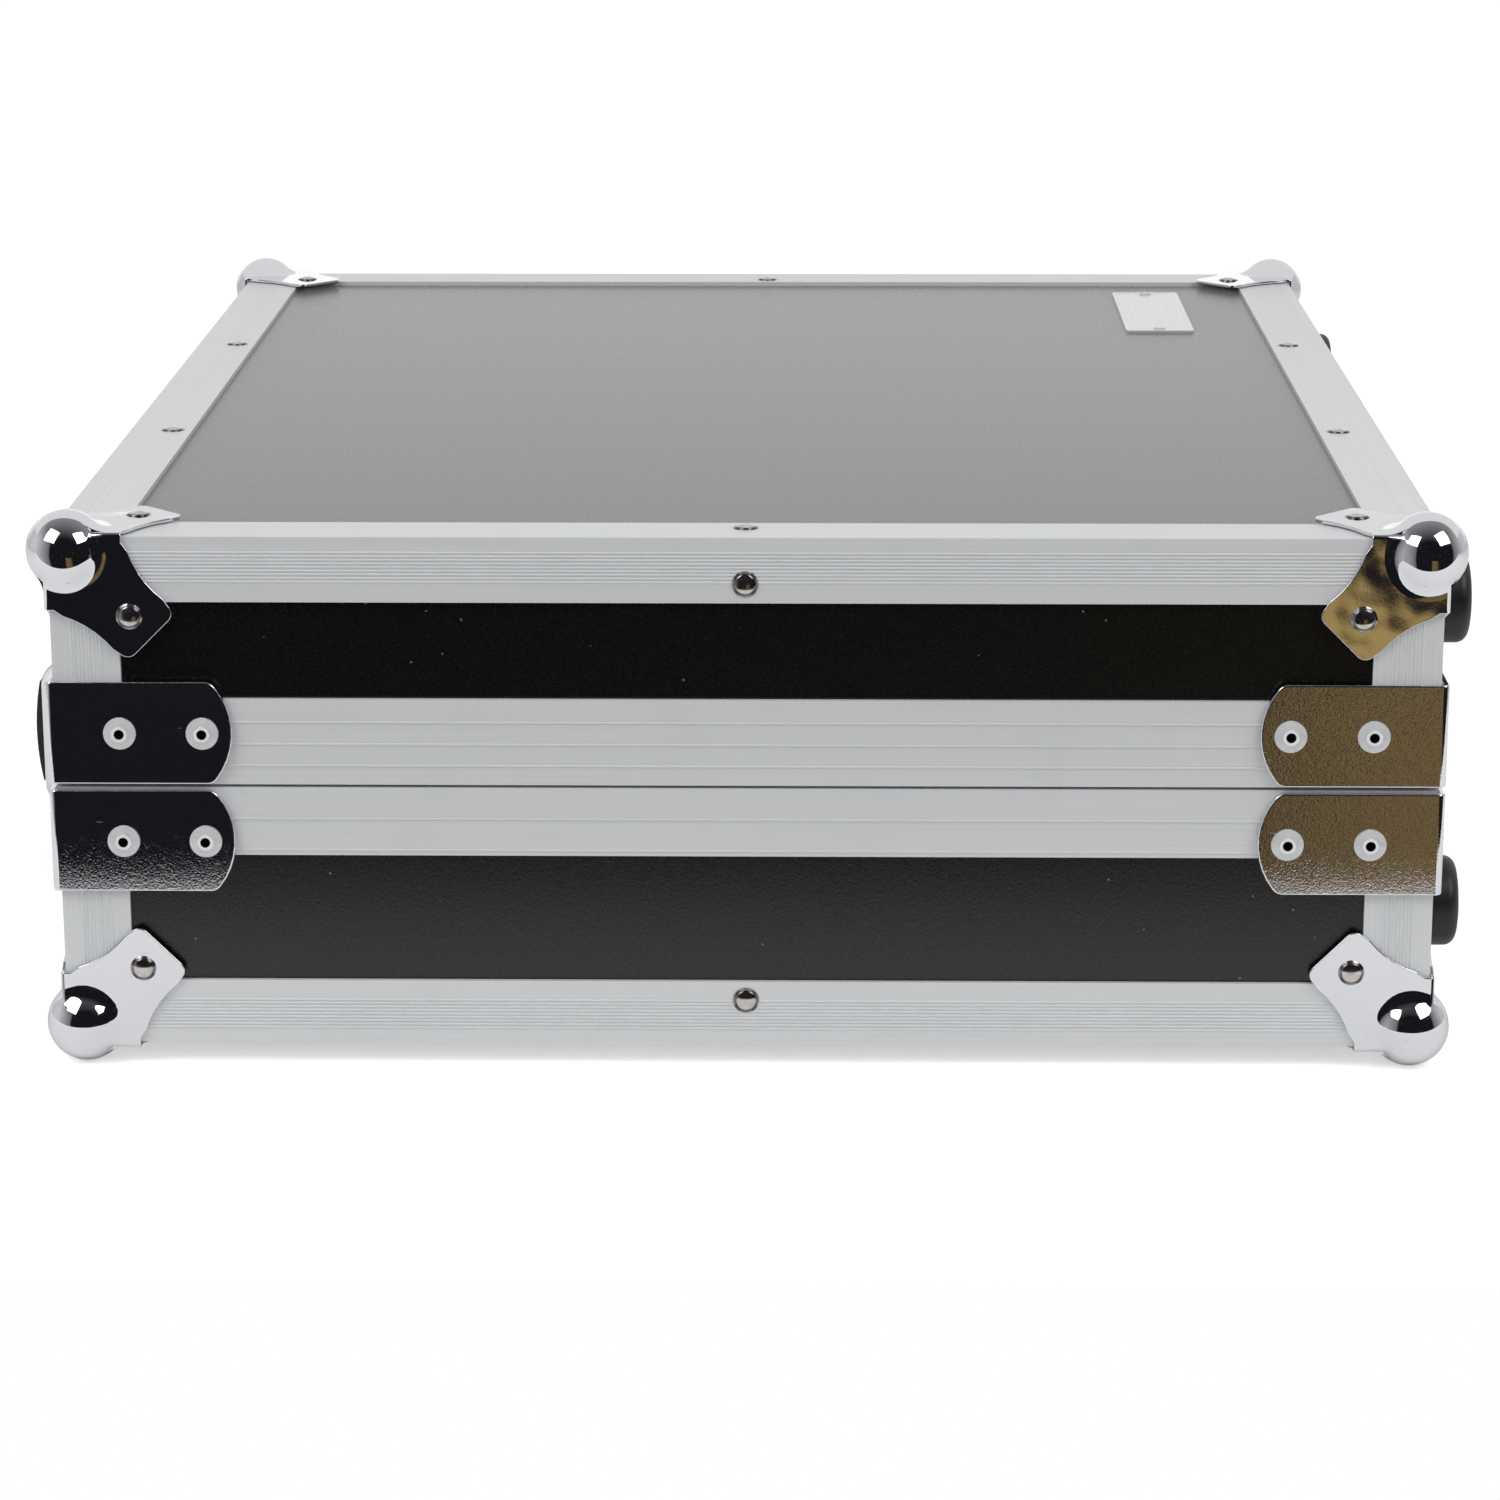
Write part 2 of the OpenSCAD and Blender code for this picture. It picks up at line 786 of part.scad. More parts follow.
// A leg on the underside with its blend and the fold along x.
module ball_leg() {
    translate([0, 0, -leg_outer])
        linear_extrude(height = ball_t)
            leg_outline();
    intersection() {
        translate([ball_inset, ball_inset, -leg_outer])
            mirror([0, 0, 1])
                blend_ring();
        translate([-seat_gap, -seat_gap, -leg_outer - ball_r])
            cube([leg_root_w, leg_root_w, ball_r + ball_t]);
    }
    translate([0, -seat_gap, -seat_gap])
        rotate([0, 90, 0])
            cylinder(r = ball_t, h = leg_root_w);
}

module ball_corner() {
    difference() {
        union() {
            translate([ball_inset, ball_inset, ball_inset])
                sphere(r = ball_r);
            ball_leg();
            rotate([90, 0, 90])
                ball_leg();
            rotate([0, -90, -90])
                ball_leg();
        }
        translate([-seat_gap, -seat_gap, -seat_gap])
            cube([bracket_l, bracket_l, bracket_l]);
        translate([ball_inset, ball_inset, ball_inset])
            sphere(r = ball_r - ball_t);
        leg_rivet_holes();
    }
}

module leg_rivet_holes() {
    reach = leg_outer + 2 * overrun;
    translate([leg_rivet, leg_rivet, -reach])
        cylinder(r = hole_r, h = reach);
    translate([leg_rivet, -reach, leg_rivet])
        rotate([-90, 0, 0])
            cylinder(r = hole_r, h = reach);
    translate([-reach, leg_rivet, leg_rivet])
        rotate([0, 90, 0])
            cylinder(r = hole_r, h = reach);
}

module base_ball_corners() {
    color(chrome) placed() at_corners()
        ball_corner();
}

module lid_ball_corners() {
    color(chrome) placed() lid_side_up() at_corners()
        ball_corner();
}

// Seam brackets

// One leg's outline: x away from the corner, y up, with a bowed end between round corners.
module bracket_outline() {
    square([bow_corner_x, bracket_h]);
    for (up = [bracket_corner_r, bracket_h - bracket_corner_r])
        translate([bow_corner_x, up])
            circle(r = bracket_corner_r);
    intersection() {
        translate([0, bow_low])
            square([bracket_l, bracket_h - 2 * bow_low]);
        translate([bow_x, bracket_h / 2])
            circle(r = bracket_bow_r);
    }
}

// The leg that lies on the end of the case.
module bracket_leg() {
    translate([-seat_gap, -seat_gap, 0])
        rotate([90, 0, 0])
            linear_extrude(height = bracket_t)
                bracket_outline();
}

module seam_bracket(rim) {
    low = rim - bracket_inset - bracket_h;
    difference() {
        translate([0, 0, low]) {
            bracket_leg();
            mirror([1, -1, 0])
                bracket_leg();
            intersection() {
                translate([-seat_gap, -seat_gap, 0])
                    cylinder(r = bracket_t, h = bracket_h);
                translate([-bracket_outer, -bracket_outer, 0])
                    cube([bracket_t, bracket_t, bracket_h]);
            }
        }
        for (reach = [bracket_rivet_near, bracket_rivet_far]) {
            translate([reach, -bracket_outer - overrun, rim - bracket_drop])
                rotate([-90, 0, 0])
                    cylinder(r = hole_r, h = bracket_t + 2 * overrun);
            translate([-bracket_outer - overrun, reach, rim - bracket_drop])
                rotate([0, 90, 0])
                    cylinder(r = hole_r, h = bracket_t + 2 * overrun);
        }
    }
}

module base_seam_brackets() {
    color(chrome) placed() at_corners()
        seam_bracket(base_h);
}

module lid_seam_brackets() {
    color(chrome) placed() lid_side_up() at_corners()
        seam_bracket(lid_h);
}

// Rivets, drawn with the head up and its seat at zero

module shank_and_tail(grip) {
    translate([0, 0, -grip])
        cylinder(r = shank_r, h = grip);
    translate([0, 0, -grip - tail_t])
        cylinder(r = tail_r, h = tail_t);
}

module domed_rivet(grip) {
    sphere_r = (pow(dome_r, 2) + pow(dome_h, 2)) / (2 * dome_h);
    intersection() {
        translate([0, 0, dome_h - sphere_r])
            sphere(r = sphere_r);
        cylinder(r = dome_r + overrun, h = dome_h + overrun);
    }
    shank_and_tail(grip);
}

// A blind rivet's head: a low cone, a raised ring and the mandrel's hole.
module blind_rivet(grip) {
    rim_h = blind_r / 12;
    ring_r = blind_r / 2;
    cone_h = blind_r / 4;
    ring_h = blind_r / 3;
    mandrel_r = blind_r / 3.2;
    mandrel_low = blind_r / 2;
    difference() {
        union() {
            cylinder(r = blind_r, h = rim_h);
            translate([0, 0, rim_h])
                cylinder(r1 = blind_r, r2 = ring_r, h = cone_h - rim_h);
            cylinder(r = ring_r, h = ring_h);
            shank_and_tail(grip);
        }
        translate([0, 0, -mandrel_low])
            cylinder(r = mandrel_r, h = mandrel_low + ring_h + overrun);
    }
}

// The domed rivets of one half: in the edging, and one in each leg of the ball corners.
module domed_rivets() {
    for (side = SIDES)
        on_side(side) {
            for (along = edge_rivets(side)) {
                translate([along, 0, edge_rivet])
                    outward()
                        translate([0, 0, seat_gap])
                            domed_rivet(inner_d + seat_gap);
                translate([along, edge_rivet, 0])
                    rotate([180, 0, 0])
                        domed_rivet(inner_d);
            }
            for (turn = [-1, 1])
                translate([turn * (side_half(side) - leg_rivet), -leg_outer, leg_rivet])
                    outward()
                        domed_rivet(inner_d + leg_outer);
        }
    at_corners()
        translate([leg_rivet, leg_rivet, -leg_outer])
            rotate([180, 0, 0])
                domed_rivet(inner_d + leg_outer);
}

module blind_rivets(side, rivets) {
    on_side(side)
        for (rivet = rivets)
            translate([rivet[0], -rivet[2], rivet[1]])
                outward()
                    blind_rivet(rivet[2] + rivet[3]);
}

module base_domed_rivets() {
    color(chrome) placed()
        domed_rivets();
}

module lid_domed_rivets() {
    color(chrome) placed() lid_side_up()
        domed_rivets();
}

module base_blind_rivets() {
    color(alu) placed()
        for (side = SIDES)
            blind_rivets(side, base_side_rivets(side));
}

module lid_blind_rivets() {
    color(alu) placed() lid_side_up()
        for (side = SIDES)
            blind_rivets(side, lid_side_rivets(side));
}

// Rubber feet on the back

// A foot with a rounded rim and a recess for its rivet, drawn with its outer end up.
module foot() {
    difference() {
        union() {
            translate([0, 0, -edge_t])
                cylinder(r = foot_r, h = foot_out + edge_t - foot_round);
            cylinder(r = foot_r - foot_round, h = foot_out);
            translate([0, 0, foot_out - foot_round])
                rotate_extrude()
                    translate([foot_r - foot_round, 0])
                        intersection() {
                            circle(r = foot_round);
                            square(foot_round);
                        }
        }
        translate([0, 0, foot_seat])
            cylinder(r = foot_recess_r, h = foot_out);
        translate([0, 0, -edge_t - overrun])
            cylinder(r = hole_r, h = foot_out);
    }
}

// The feet of a half at a height, each stepped over the edging's flange.
module feet(up) {
    on_side("back")
        difference() {
            for (turn = [-1, 1])
                translate([turn * foot_y, 0, up])
                    outward()
                        foot();
            translate([-half_l, -mitre_gap, 0])
                cube([case_l, foot_out, flange_h + mitre_gap]);
        }
}

module base_feet() {
    color(rubber) placed()
        feet(base_foot_z);
}

module lid_feet() {
    color(rubber) placed() lid_side_up()
        feet(lid_foot_z);
}

// Hinges, drawn in the back's frame

module along_case(start) {
    translate([start, -hinge_out, hinge_z])
        rotate([0, 90, 0])
            children();
}

// A leaf reaches from its free edge to the pin's axis within its own knuckles and stops
// short of the other leaf's knuckle.
module leaf(way, knuckles) {
    half = hinge_w / 2;
    difference() {
        union() {
            translate([-half, -leaf_outer, way > 0 ? hinge_z + knuckle_clear : hinge_z - leaf_h])
                cube([hinge_w, leaf_t, leaf_h - knuckle_clear]);
            for (span = knuckles) {
                along_case(span[0])
                    cylinder(r = knuckle_r, h = span[1] - span[0]);
                translate([span[0], -leaf_outer, way > 0 ? hinge_z : hinge_z - knuckle_clear - eps])
                    cube([span[1] - span[0], leaf_t, knuckle_clear + eps]);
            }
        }
        along_case(-hinge_w)
            cylinder(r = hinge_pin_r + pin_fit, h = 2 * hinge_w);
        for (step = [-1, 0, 1])
            translate([step * leaf_rivet_pitch, -leaf_outer - overrun, hinge_rivet_z(way)])
                rotate([-90, 0, 0])
                    cylinder(r = hole_r, h = leaf_t + 2 * overrun);
    }
}

function hinge_rivet_z(way) = way > 0
    ? case_h - lid_h + leaf_rivet_drop
    : base_h - leaf_rivet_drop;

module base_hinge_leaves() {
    half = hinge_w / 2;
    inner = knuckle_w / 2 + side_play;
    color(chrome) placed() on_side("back")
        for (turn = [-1, 1])
            translate([turn * hinge_y, 0, 0])
                leaf(-1, [[-half, -inner], [inner, half]]);
}

module lid_hinge_leaves() {
    inner = knuckle_w / 2;
    color(chrome) placed() on_side("back")
        for (turn = [-1, 1])
            translate([turn * hinge_y, 0, 0])
                leaf(1, [[-inner, inner]]);
}

module hinge_pins() {
    half = hinge_w / 2;
    color(chrome) placed() on_side("back")
        for (turn = [-1, 1])
            translate([turn * hinge_y, 0, 0]) {
                along_case(-half)
                    cylinder(r = hinge_pin_r, h = hinge_w);
                along_case(half)
                    cylinder(r = pin_head_r, h = pin_head_t);
                along_case(-half - pin_head_t)
                    cylinder(r = pin_head_r, h = pin_head_t);
            }
}

// Latches, drawn in the front's frame around x = 0

module at_latch(turn) {
    on_side("front")
        translate([-turn * latch_y, 0, 0])
            children();
}

// A flat stretch of flange whose outer face lies at the distance out.
module dish_flange(out, low, high) {
    translate([-dish_flange_half_w, -out, low])
        cube([2 * dish_flange_half_w, dish_t, high - low]);
}

// The outside of a pan between two heights.
module pan_outside(low, high) {
    translate([-dish_outer_half_w, -dish_flange_outer, low])
        cube([2 * dish_outer_half_w, dish_flange_outer + dish_back, high - low]);
}

// The hollow of a pan between two heights.
module pan_hollow(low, high) {
    translate([-dish_half_w, -dish_flange_outer - overrun, low])
        cube([2 * dish_half_w, dish_flange_outer + dish_floor + overrun, high - low]);
}

// A hole through the dish at a place along it and up it.
module dish_hole(along, up, radius) {
    translate([along, -dish_flange_outer - overrun, up])
        rotate([-90, 0, 0])
            cylinder(r = radius, h = dish_flange_outer + dish_back + 2 * overrun);
}

// The base's dish. Its flange lies on the panel and steps out over the seam extrusion.
module latch_dish(turn) {
    joggle_z = skin_low_z - mitre_gap;
    color(chrome) placed() at_latch(turn)
        difference() {
            union() {
                dish_flange(dish_flange_outer, joggle_z - dish_t, dish_top_z);
                dish_flange(dish_t - edge_t, dish_flange_low_z, joggle_z);
                translate([-dish_flange_half_w, -dish_flange_outer, joggle_z - dish_t])
                    cube([2 * dish_flange_half_w, dish_flange_outer + edge_t, dish_t]);
                pan_outside(dish_low_z - dish_t, dish_top_z);
            }
            pan_hollow(dish_low_z, dish_top_z + overrun);
            for (step = [-1, 1], up = [dish_rivet_low_z, dish_rivet_high_z])
                dish_hole(step * dish_rivet_u, up, hole_r);
            dish_hole(0, spindle_z, pivot_r + pin_fit);
        }
}

// The lid's dish, which the claw turns into.
module catch_dish(turn) {
    color(chrome) placed() at_latch(turn)
        difference() {
            union() {
                dish_flange(dish_flange_outer, catch_low_z, catch_flange_top_z);
                pan_outside(catch_low_z, catch_top_z);
            }
            pan_hollow(catch_low_z - overrun, catch_top_z - dish_t);
            for (step = [-1, 1])
                dish_hole(step * dish_rivet_u, case_h - lid_h + catch_rivet_drop, hole_r);
            dish_hole(0, spindle_z + stud_reach, stud_r + pin_fit);
        }
}

// The fixed pivots that the keys turn on, riveted into the base's dishes.
module latch_pivots() {
    color(chrome) placed()
        for (turn = [-1, 1])
            at_latch(turn)
                translate([0, dish_back, spindle_z])
                    outward() {
                        cylinder(r = pivot_r, h = dish_back - pivot_head_d);
                        translate([0, 0, dish_back - pivot_head_d])
                            cylinder(r = pivot_head_r, h = pivot_head_t);
                        translate([0, 0, -pivot_tail_t])
                            cylinder(r = pivot_tail_r, h = pivot_tail_t);
                    }
}

// The studs that the claws pass over, pressed into the lid's dishes.
module catch_studs() {
    color(chrome) placed()
        for (turn = [-1, 1])
            at_latch(turn)
                translate([0, dish_back, spindle_z + stud_reach])
                    outward()
                        cylinder(r = stud_r, h = dish_back - stud_low);
}

// The sector between two directions, measured from straight down.
module sector(half_angle, reach) {
    rotate([0, 0, -90 - half_angle])
        intersection() {
            square(reach);
            rotate([0, 0, 2 * half_angle - 90])
                square(reach);
        }
}

// The claw hangs down when the latch is open, with its spoke at the trailing end.
module claw_outline() {
    intersection() {
        difference() {
            circle(r = claw_out_r);
            circle(r = claw_in_r);
        }
        sector(claw_half_angle, 2 * claw_out_r);
    }
    rotate([0, 0, -90 - claw_half_angle])
        square([claw_in_r + claw_w / 2, spoke_w]);
    circle(r = hub_r);
}

module latch_claw(turn) {
    color(chrome) placed() at_latch(turn)
        translate([0, claw_low, spindle_z])
            outward()
                difference() {
                    linear_extrude(height = claw_t)
                        claw_outline();
                    translate([0, 0, -overrun])
                        cylinder(r = pivot_r + pin_fit, h = claw_t + 2 * overrun);
                }
}

// The key's round plate with the two lugs that carry the flap.
module latch_key(turn) {
    color(chrome) placed() at_latch(turn)
        difference() {
            union() {
                translate([0, key_low, spindle_z])
                    outward()
                        cylinder(r = key_r, h = key_t);
                for (way = [-1, 1])
                    key_lug(way);
            }
            translate([0, key_low + overrun, spindle_z])
                outward()
                    cylinder(r = pivot_r + pin_fit, h = key_t + 2 * overrun);
            flap_axis(key_r)
                cylinder(r = flap_pin_r + pin_fit, h = 2 * key_r);
        }
}

module key_lug(way) {
    lug_x = way * (flap_half + side_play + lug_w / 2);
    translate([lug_x - lug_w / 2, -flap_out, spindle_z - flap_axis_drop])
        rotate([0, 90, 0])
            cylinder(r = flap_barrel_r, h = lug_w);
    translate([lug_x - lug_w / 2, -flap_out, spindle_z - flap_axis_drop - flap_barrel_r])
        cube([lug_w, flap_out + key_low - key_t + eps, 2 * flap_barrel_r]);
}

// Puts its children on the flap's axis, along x.
module flap_axis(half) {
    translate([-half, -flap_out, spindle_z - flap_axis_drop])
        rotate([0, 90, 0])
            children();
}

// The thumb flap: a segment of a round plate with a barrel and two short pins.
module latch_flap(turn) {
    color(chrome) placed() at_latch(turn) {
        flap_axis(flap_half)
            cylinder(r = flap_barrel_r, h = 2 * flap_half);
        flap_axis(flap_half + side_play + lug_w)
            cylinder(r = flap_pin_r, h = 2 * (flap_half + side_play + lug_w));
        intersection() {
            translate([0, flap_t / 2 - flap_out, spindle_z])
                outward()
                    cylinder(r = flap_r, h = flap_t);
            translate([-flap_half, -flap_out - flap_t, spindle_z - flap_r])
                cube([2 * flap_half, 2 * flap_t, flap_r - flap_axis_drop]);
        }
    }
}

// Handle, drawn in the front's frame

// Draws its children, given in distance out and height, as a slice across the case.
module slice(start, thick) {
    translate([start, 0, 0])
        rotate([90, 0, 90])
            linear_extrude(height = thick)
                mirror([1, 0])
                    children();
}

// The cheek's outline: square at the case, round at its outer corners.
module cheek_outline() {
    round_out = cheek_out - cheek_round;
    translate([seat_gap, handle_low_z])
        square([round_out - seat_gap, handle_h]);
    translate([seat_gap, handle_low_z + cheek_round])
        square([cheek_out - seat_gap, handle_h - 2 * cheek_round]);
    for (up = [handle_low_z + cheek_round, handle_top_z - cheek_round])
        translate([round_out, up])
            circle(r = cheek_round);
}

// The mounting plate: its foot lies on the panel and its top on the seam extrusion.
module plate_outline() {
    translate([seat_gap, handle_low_z])
        square([plate_t, handle_h]);
    translate([-edge_t, handle_low_z])
        square([edge_t + seat_gap + plate_t, skin_low_z - mitre_gap - handle_low_z]);
}

module handle_plate() {
    color(chrome) placed() on_side("front")
        difference() {
            union() {
                slice(-handle_plate_half, 2 * handle_plate_half)
                    plate_outline();
                for (way = [-1, 1]) {
                    slice(way > 0 ? cheek_y : -cheek_y - cheek_t, cheek_t)
                        cheek_outline();
                    handle_stop(way);
                }
            }
            slice(-case_w, 2 * case_w)
                translate([handle_pivot_out, handle_pivot_z])
                    circle(r = handle_pin_r + pin_fit);
            blind_holes(handle_rivets());
        }
}

// A block on the plate that the arm comes to rest on.
module handle_stop(way) {
    stop_out = grip_mid_out - arm_grip_r - side_play;
    translate([way > 0 ? arm_y : -cheek_y - root, -stop_out, grip_z - stop_w])
        cube([cheek_y + root - arm_y, stop_out - plate_outer + root, stop_w]);
}

module handle_pins() {
    inner = arm_y + arm_t / 4;
    outer = cheek_y + cheek_t;
    color(chrome) placed() on_side("front")
        for (way = [0, 1])
            mirror([way, 0, 0])
                translate([inner, -handle_pivot_out, handle_pivot_z])
                    rotate([0, 90, 0]) {
                        cylinder(r = handle_pin_r, h = outer - inner);
                        translate([0, 0, outer - inner])
                            cylinder(r = handle_pin_head_r, h = handle_pin_head_t);
                    }
}

// An arm of the bow, from its eye at the pivot to the grip's core.
module arm_outline() {
    eye = [handle_pivot_out, handle_pivot_z];
    grip = [grip_mid_out, grip_z];
    span = norm(grip - eye);
    turn = atan2(grip[1] - eye[1], grip[0] - eye[0]);
    translate(eye)
        circle(r = arm_root_r);
    translate(grip)
        circle(r = arm_grip_r);
    translate(eye)
        rotate([0, 0, turn])
            translate([0, -arm_half_w])
                square([span, 2 * arm_half_w]);
}

module handle_bow() {
    color(chrome) placed() on_side("front")
        difference() {
            union() {
                for (way = [-1, 1])
                    slice(way > 0 ? arm_y : -arm_y - arm_t, arm_t)
                        arm_outline();
                slice(-arm_y - root, 2 * (arm_y + root))
                    translate([grip_mid_out, grip_z])
                        circle(r = core_r);
            }
            slice(-case_w, 2 * case_w)
                translate([handle_pivot_out, handle_pivot_z])
                    circle(r = handle_pin_r + pin_fit);
        }
}

// The grip's section: a rounded block with a bowed outer face.
module grip_outline() {
    low = grip_z - grip_h / 2;
    back = grip_mid_out - grip_t / 2;
    bow_r = (pow(grip_h / 2, 2) + pow(grip_bulge, 2)) / (2 * grip_bulge);
    translate([back + grip_round, low])
        square([grip_t - 2 * grip_round, grip_h]);
    translate([back, low + grip_round])
        square([grip_t, grip_h - 2 * grip_round]);
    for (out = [grip_round, grip_t - grip_round], up = [grip_round, grip_h - grip_round])
        translate([back + out, low + up])
            circle(r = grip_round);
    intersection() {
        translate([grip_mid_out, low])
            square([grip_t, grip_h]);
        translate([back + grip_t + grip_bulge - bow_r, grip_z])
            circle(r = bow_r);
    }
}

module handle_grip() {
    color(rubber) placed() on_side("front")
        difference() {
            slice(-grip_half, 2 * grip_half)
                grip_outline();
            slice(-case_w, 2 * case_w)
                translate([grip_mid_out, grip_z])
                    circle(r = core_r + pin_fit);
        }
}

// Foam

module base_foam() {
    low = inner_d + tail_t + foam_gap;
    size = [case_w - 2 * foam_d, case_l - 2 * foam_d, base_h - foam_top_gap - low];
    color(foam) placed()
        difference() {
            translate([-size[0] / 2, -size[1] / 2, low])
                cube(size);
            translate([foam_wall_t - size[0] / 2, foam_wall_t - size[1] / 2, low + foam_floor_t])
                cube([size[0] - 2 * foam_wall_t, size[1] - 2 * foam_wall_t, size[2]]);
        }
}

module lid_foam() {
    low = inner_d + tail_t + foam_gap;
    color(foam) placed() lid_side_up()
        translate([foam_d - half_w, foam_d - half_l, low])
            cube([case_w - 2 * foam_d, case_l - 2 * foam_d, foam_lid_t]);
}

module base_floor() {
    color(laminate) placed()
        flat_panel();
}

module lid_panel() {
    color(laminate) placed() lid_side_up()
        flat_panel();
}

base_floor();
base_wall("near");  // base_wall_near
base_wall("back");  // base_wall_back
base_wall("far");  // base_wall_far
base_wall("front");  // base_wall_front
base_edge("near");  // base_edge_near
base_edge("back");  // base_edge_back
base_edge("far");  // base_edge_far
base_edge("front");  // base_edge_front
base_posts();
base_rim("near");  // base_rim_near
base_rim("back");  // base_rim_back
base_rim("far");  // base_rim_far
base_rim("front");  // base_rim_front
base_ball_corners();
base_seam_brackets();
base_domed_rivets();
base_blind_rivets();
base_feet();
base_hinge_leaves();
hinge_pins();
base_foam();
latch_dish(-1);  // latch_dish_near
latch_dish(1);  // latch_dish_far
latch_pivots();
handle_plate();
handle_pins();
handle_bow();
handle_grip();
latch_key(-1);  // latch_key_near
latch_key(1);  // latch_key_far
latch_claw(-1);  // latch_claw_near
latch_claw(1);  // latch_claw_far
latch_flap(-1);  // latch_flap_near
latch_flap(1);  // latch_flap_far
lid_panel();
lid_wall("near");  // lid_wall_near
lid_wall("back");  // lid_wall_back
lid_wall("far");  // lid_wall_far
lid_wall("front");  // lid_wall_front
lid_edge("near");  // lid_edge_near
lid_edge("back");  // lid_edge_back
lid_edge("far");  // lid_edge_far
lid_edge("front");  // lid_edge_front
lid_posts();
lid_rim("near");  // lid_rim_near
lid_rim("back");  // lid_rim_back
lid_rim("far");  // lid_rim_far
lid_rim("front");  // lid_rim_front
lid_ball_corners();
lid_seam_brackets();
lid_domed_rivets();
lid_blind_rivets();
lid_feet();
lid_hinge_leaves();
catch_dish(-1);  // catch_dish_near
catch_dish(1);  // catch_dish_far
catch_studs();
lid_foam();
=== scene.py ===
"""Dress the laptop flight case: finishes, foam, badge plate, studio and camera.

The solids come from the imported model. This file gives each of them the finish of the real piece,
replaces the plain foam solids with formed foam, and adds the bare plate on the lid.
Lengths are in metres, and names that end in _mm are in millimetres.
"""

import logging
import math
from dataclasses import dataclass, field
from enum import Enum
from typing import Any, Iterable

import bmesh
import bpy
from mathutils import Matrix, Vector


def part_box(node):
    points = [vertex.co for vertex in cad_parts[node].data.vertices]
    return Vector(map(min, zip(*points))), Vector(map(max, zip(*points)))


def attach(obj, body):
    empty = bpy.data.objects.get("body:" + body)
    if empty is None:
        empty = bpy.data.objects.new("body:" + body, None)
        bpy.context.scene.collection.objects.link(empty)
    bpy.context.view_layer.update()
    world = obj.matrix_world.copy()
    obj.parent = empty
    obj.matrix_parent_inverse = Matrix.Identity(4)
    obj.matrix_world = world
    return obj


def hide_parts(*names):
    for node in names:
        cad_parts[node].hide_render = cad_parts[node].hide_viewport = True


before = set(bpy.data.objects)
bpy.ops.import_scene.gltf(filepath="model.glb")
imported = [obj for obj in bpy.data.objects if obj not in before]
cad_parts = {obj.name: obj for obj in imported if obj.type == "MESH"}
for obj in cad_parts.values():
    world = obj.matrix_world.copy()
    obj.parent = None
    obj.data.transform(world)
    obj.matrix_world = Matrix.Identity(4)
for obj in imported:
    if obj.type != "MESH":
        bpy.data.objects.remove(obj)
log = logging.getLogger("flight_case")

MM = 0.001
PER_MM = 1000.0
WHITE = "#FFFFFF"
Object = bpy.types.Object
Tree = bpy.types.NodeTree
Node = bpy.types.Node
Source = Node | bpy.types.NodeSocket
Values = dict[Any, Any]
Span = tuple[float, float]
Triple = tuple[float, float, float]
EVEN: Triple = (1.0, 1.0, 1.0)


class Axis(Enum):
    """The direction that a piece was extruded or rolled along."""

    X = (1, 0, 0)
    Y = (0, 1, 0)
    Z = (0, 0, 1)


class Half(Enum):
    """The two halves of the case, by the body that carries their pieces."""

    BASE = "base"
    LID = "lid"


def linear(colour: str) -> tuple[float, float, float, float]:
    """Turn an sRGB hex colour into linear light.

    Args:
        colour: six hex digits after a hash sign.

    Returns:
        Red, green, blue and an alpha of one.
    """
    parts = [int(colour[at:at + 2], 16) / 255 for at in (1, 3, 5)]
    light = [p / 12.92 if p <= 0.04045 else ((p + 0.055) / 1.055) ** 2.4 for p in parts]
    return (light[0], light[1], light[2], 1.0)


def add_node(tree: Tree, kind: str, values: Values | None = None) -> Node:
    """Add a node with its settings and links.

    Args:
        tree: the node tree that takes the node.
        kind: the node's type, without the ShaderNode in front.
        values: what each named or numbered input gets, or else each setting of the node. An output is
            linked, and so is a node, by its first output in use. An input turns a hex colour to linear.

    Returns:
        The new node.
    """
    node = tree.nodes.new(f"ShaderNode{kind}")
    for key, value in (values or {}).items():
        if isinstance(value, Node):
            value = next(output for output in value.outputs if output.enabled)
        if isinstance(value, bpy.types.NodeSocket):
            tree.links.new(value, node.inputs[key])
        elif isinstance(key, int) or key in node.inputs:
            node.inputs[key].default_value = linear(value) if isinstance(value, str) else value
        else:
            setattr(node, key, value)
    return node


@dataclass(frozen=True)
class Ramp:
    """A change from one range of values to another, held at both ends."""

    low: float = 0.0
    high: float = 1.0
    to_low: float = 0.0
    to_high: float = 1.0

    def of(self, value: Source, start: float = 0.0) -> Values:
        """Return what a map range node gets to change a value so, with start added."""
        return {"Value": value, "From Min": self.low, "From Max": self.high,
                "To Min": start + self.to_low, "To Max": start + self.to_high}


@dataclass(frozen=True)
class Lumps:
    """A soft noise: its lumps' size, how fine and how strongly they break up, and how they are stretched.

    A stretch below one draws the lumps out along that direction.
    """

    size_mm: float
    detail: float = 3.0
    roughness: float = 0.5
    stretch: Triple = EVEN

    def at(self, places: Source) -> Values:
        """Return what a noise node gets to draw the lumps at those places."""
        return {"Vector": places, "Scale": 1 / self.size_mm, "Detail": self.detail,
                "Roughness": self.roughness}


@dataclass(frozen=True)
class Relief:
    """A relief: how deep it is, and the share of that depth that shows."""

    depth_mm: float
    strength: float = 1.0

    def by(self, height: Source) -> Values:
        """Return what a bump node gets to raise a surface by that height."""
        return {"Height": height, "Strength": self.strength, "Distance": self.depth_mm * MM}


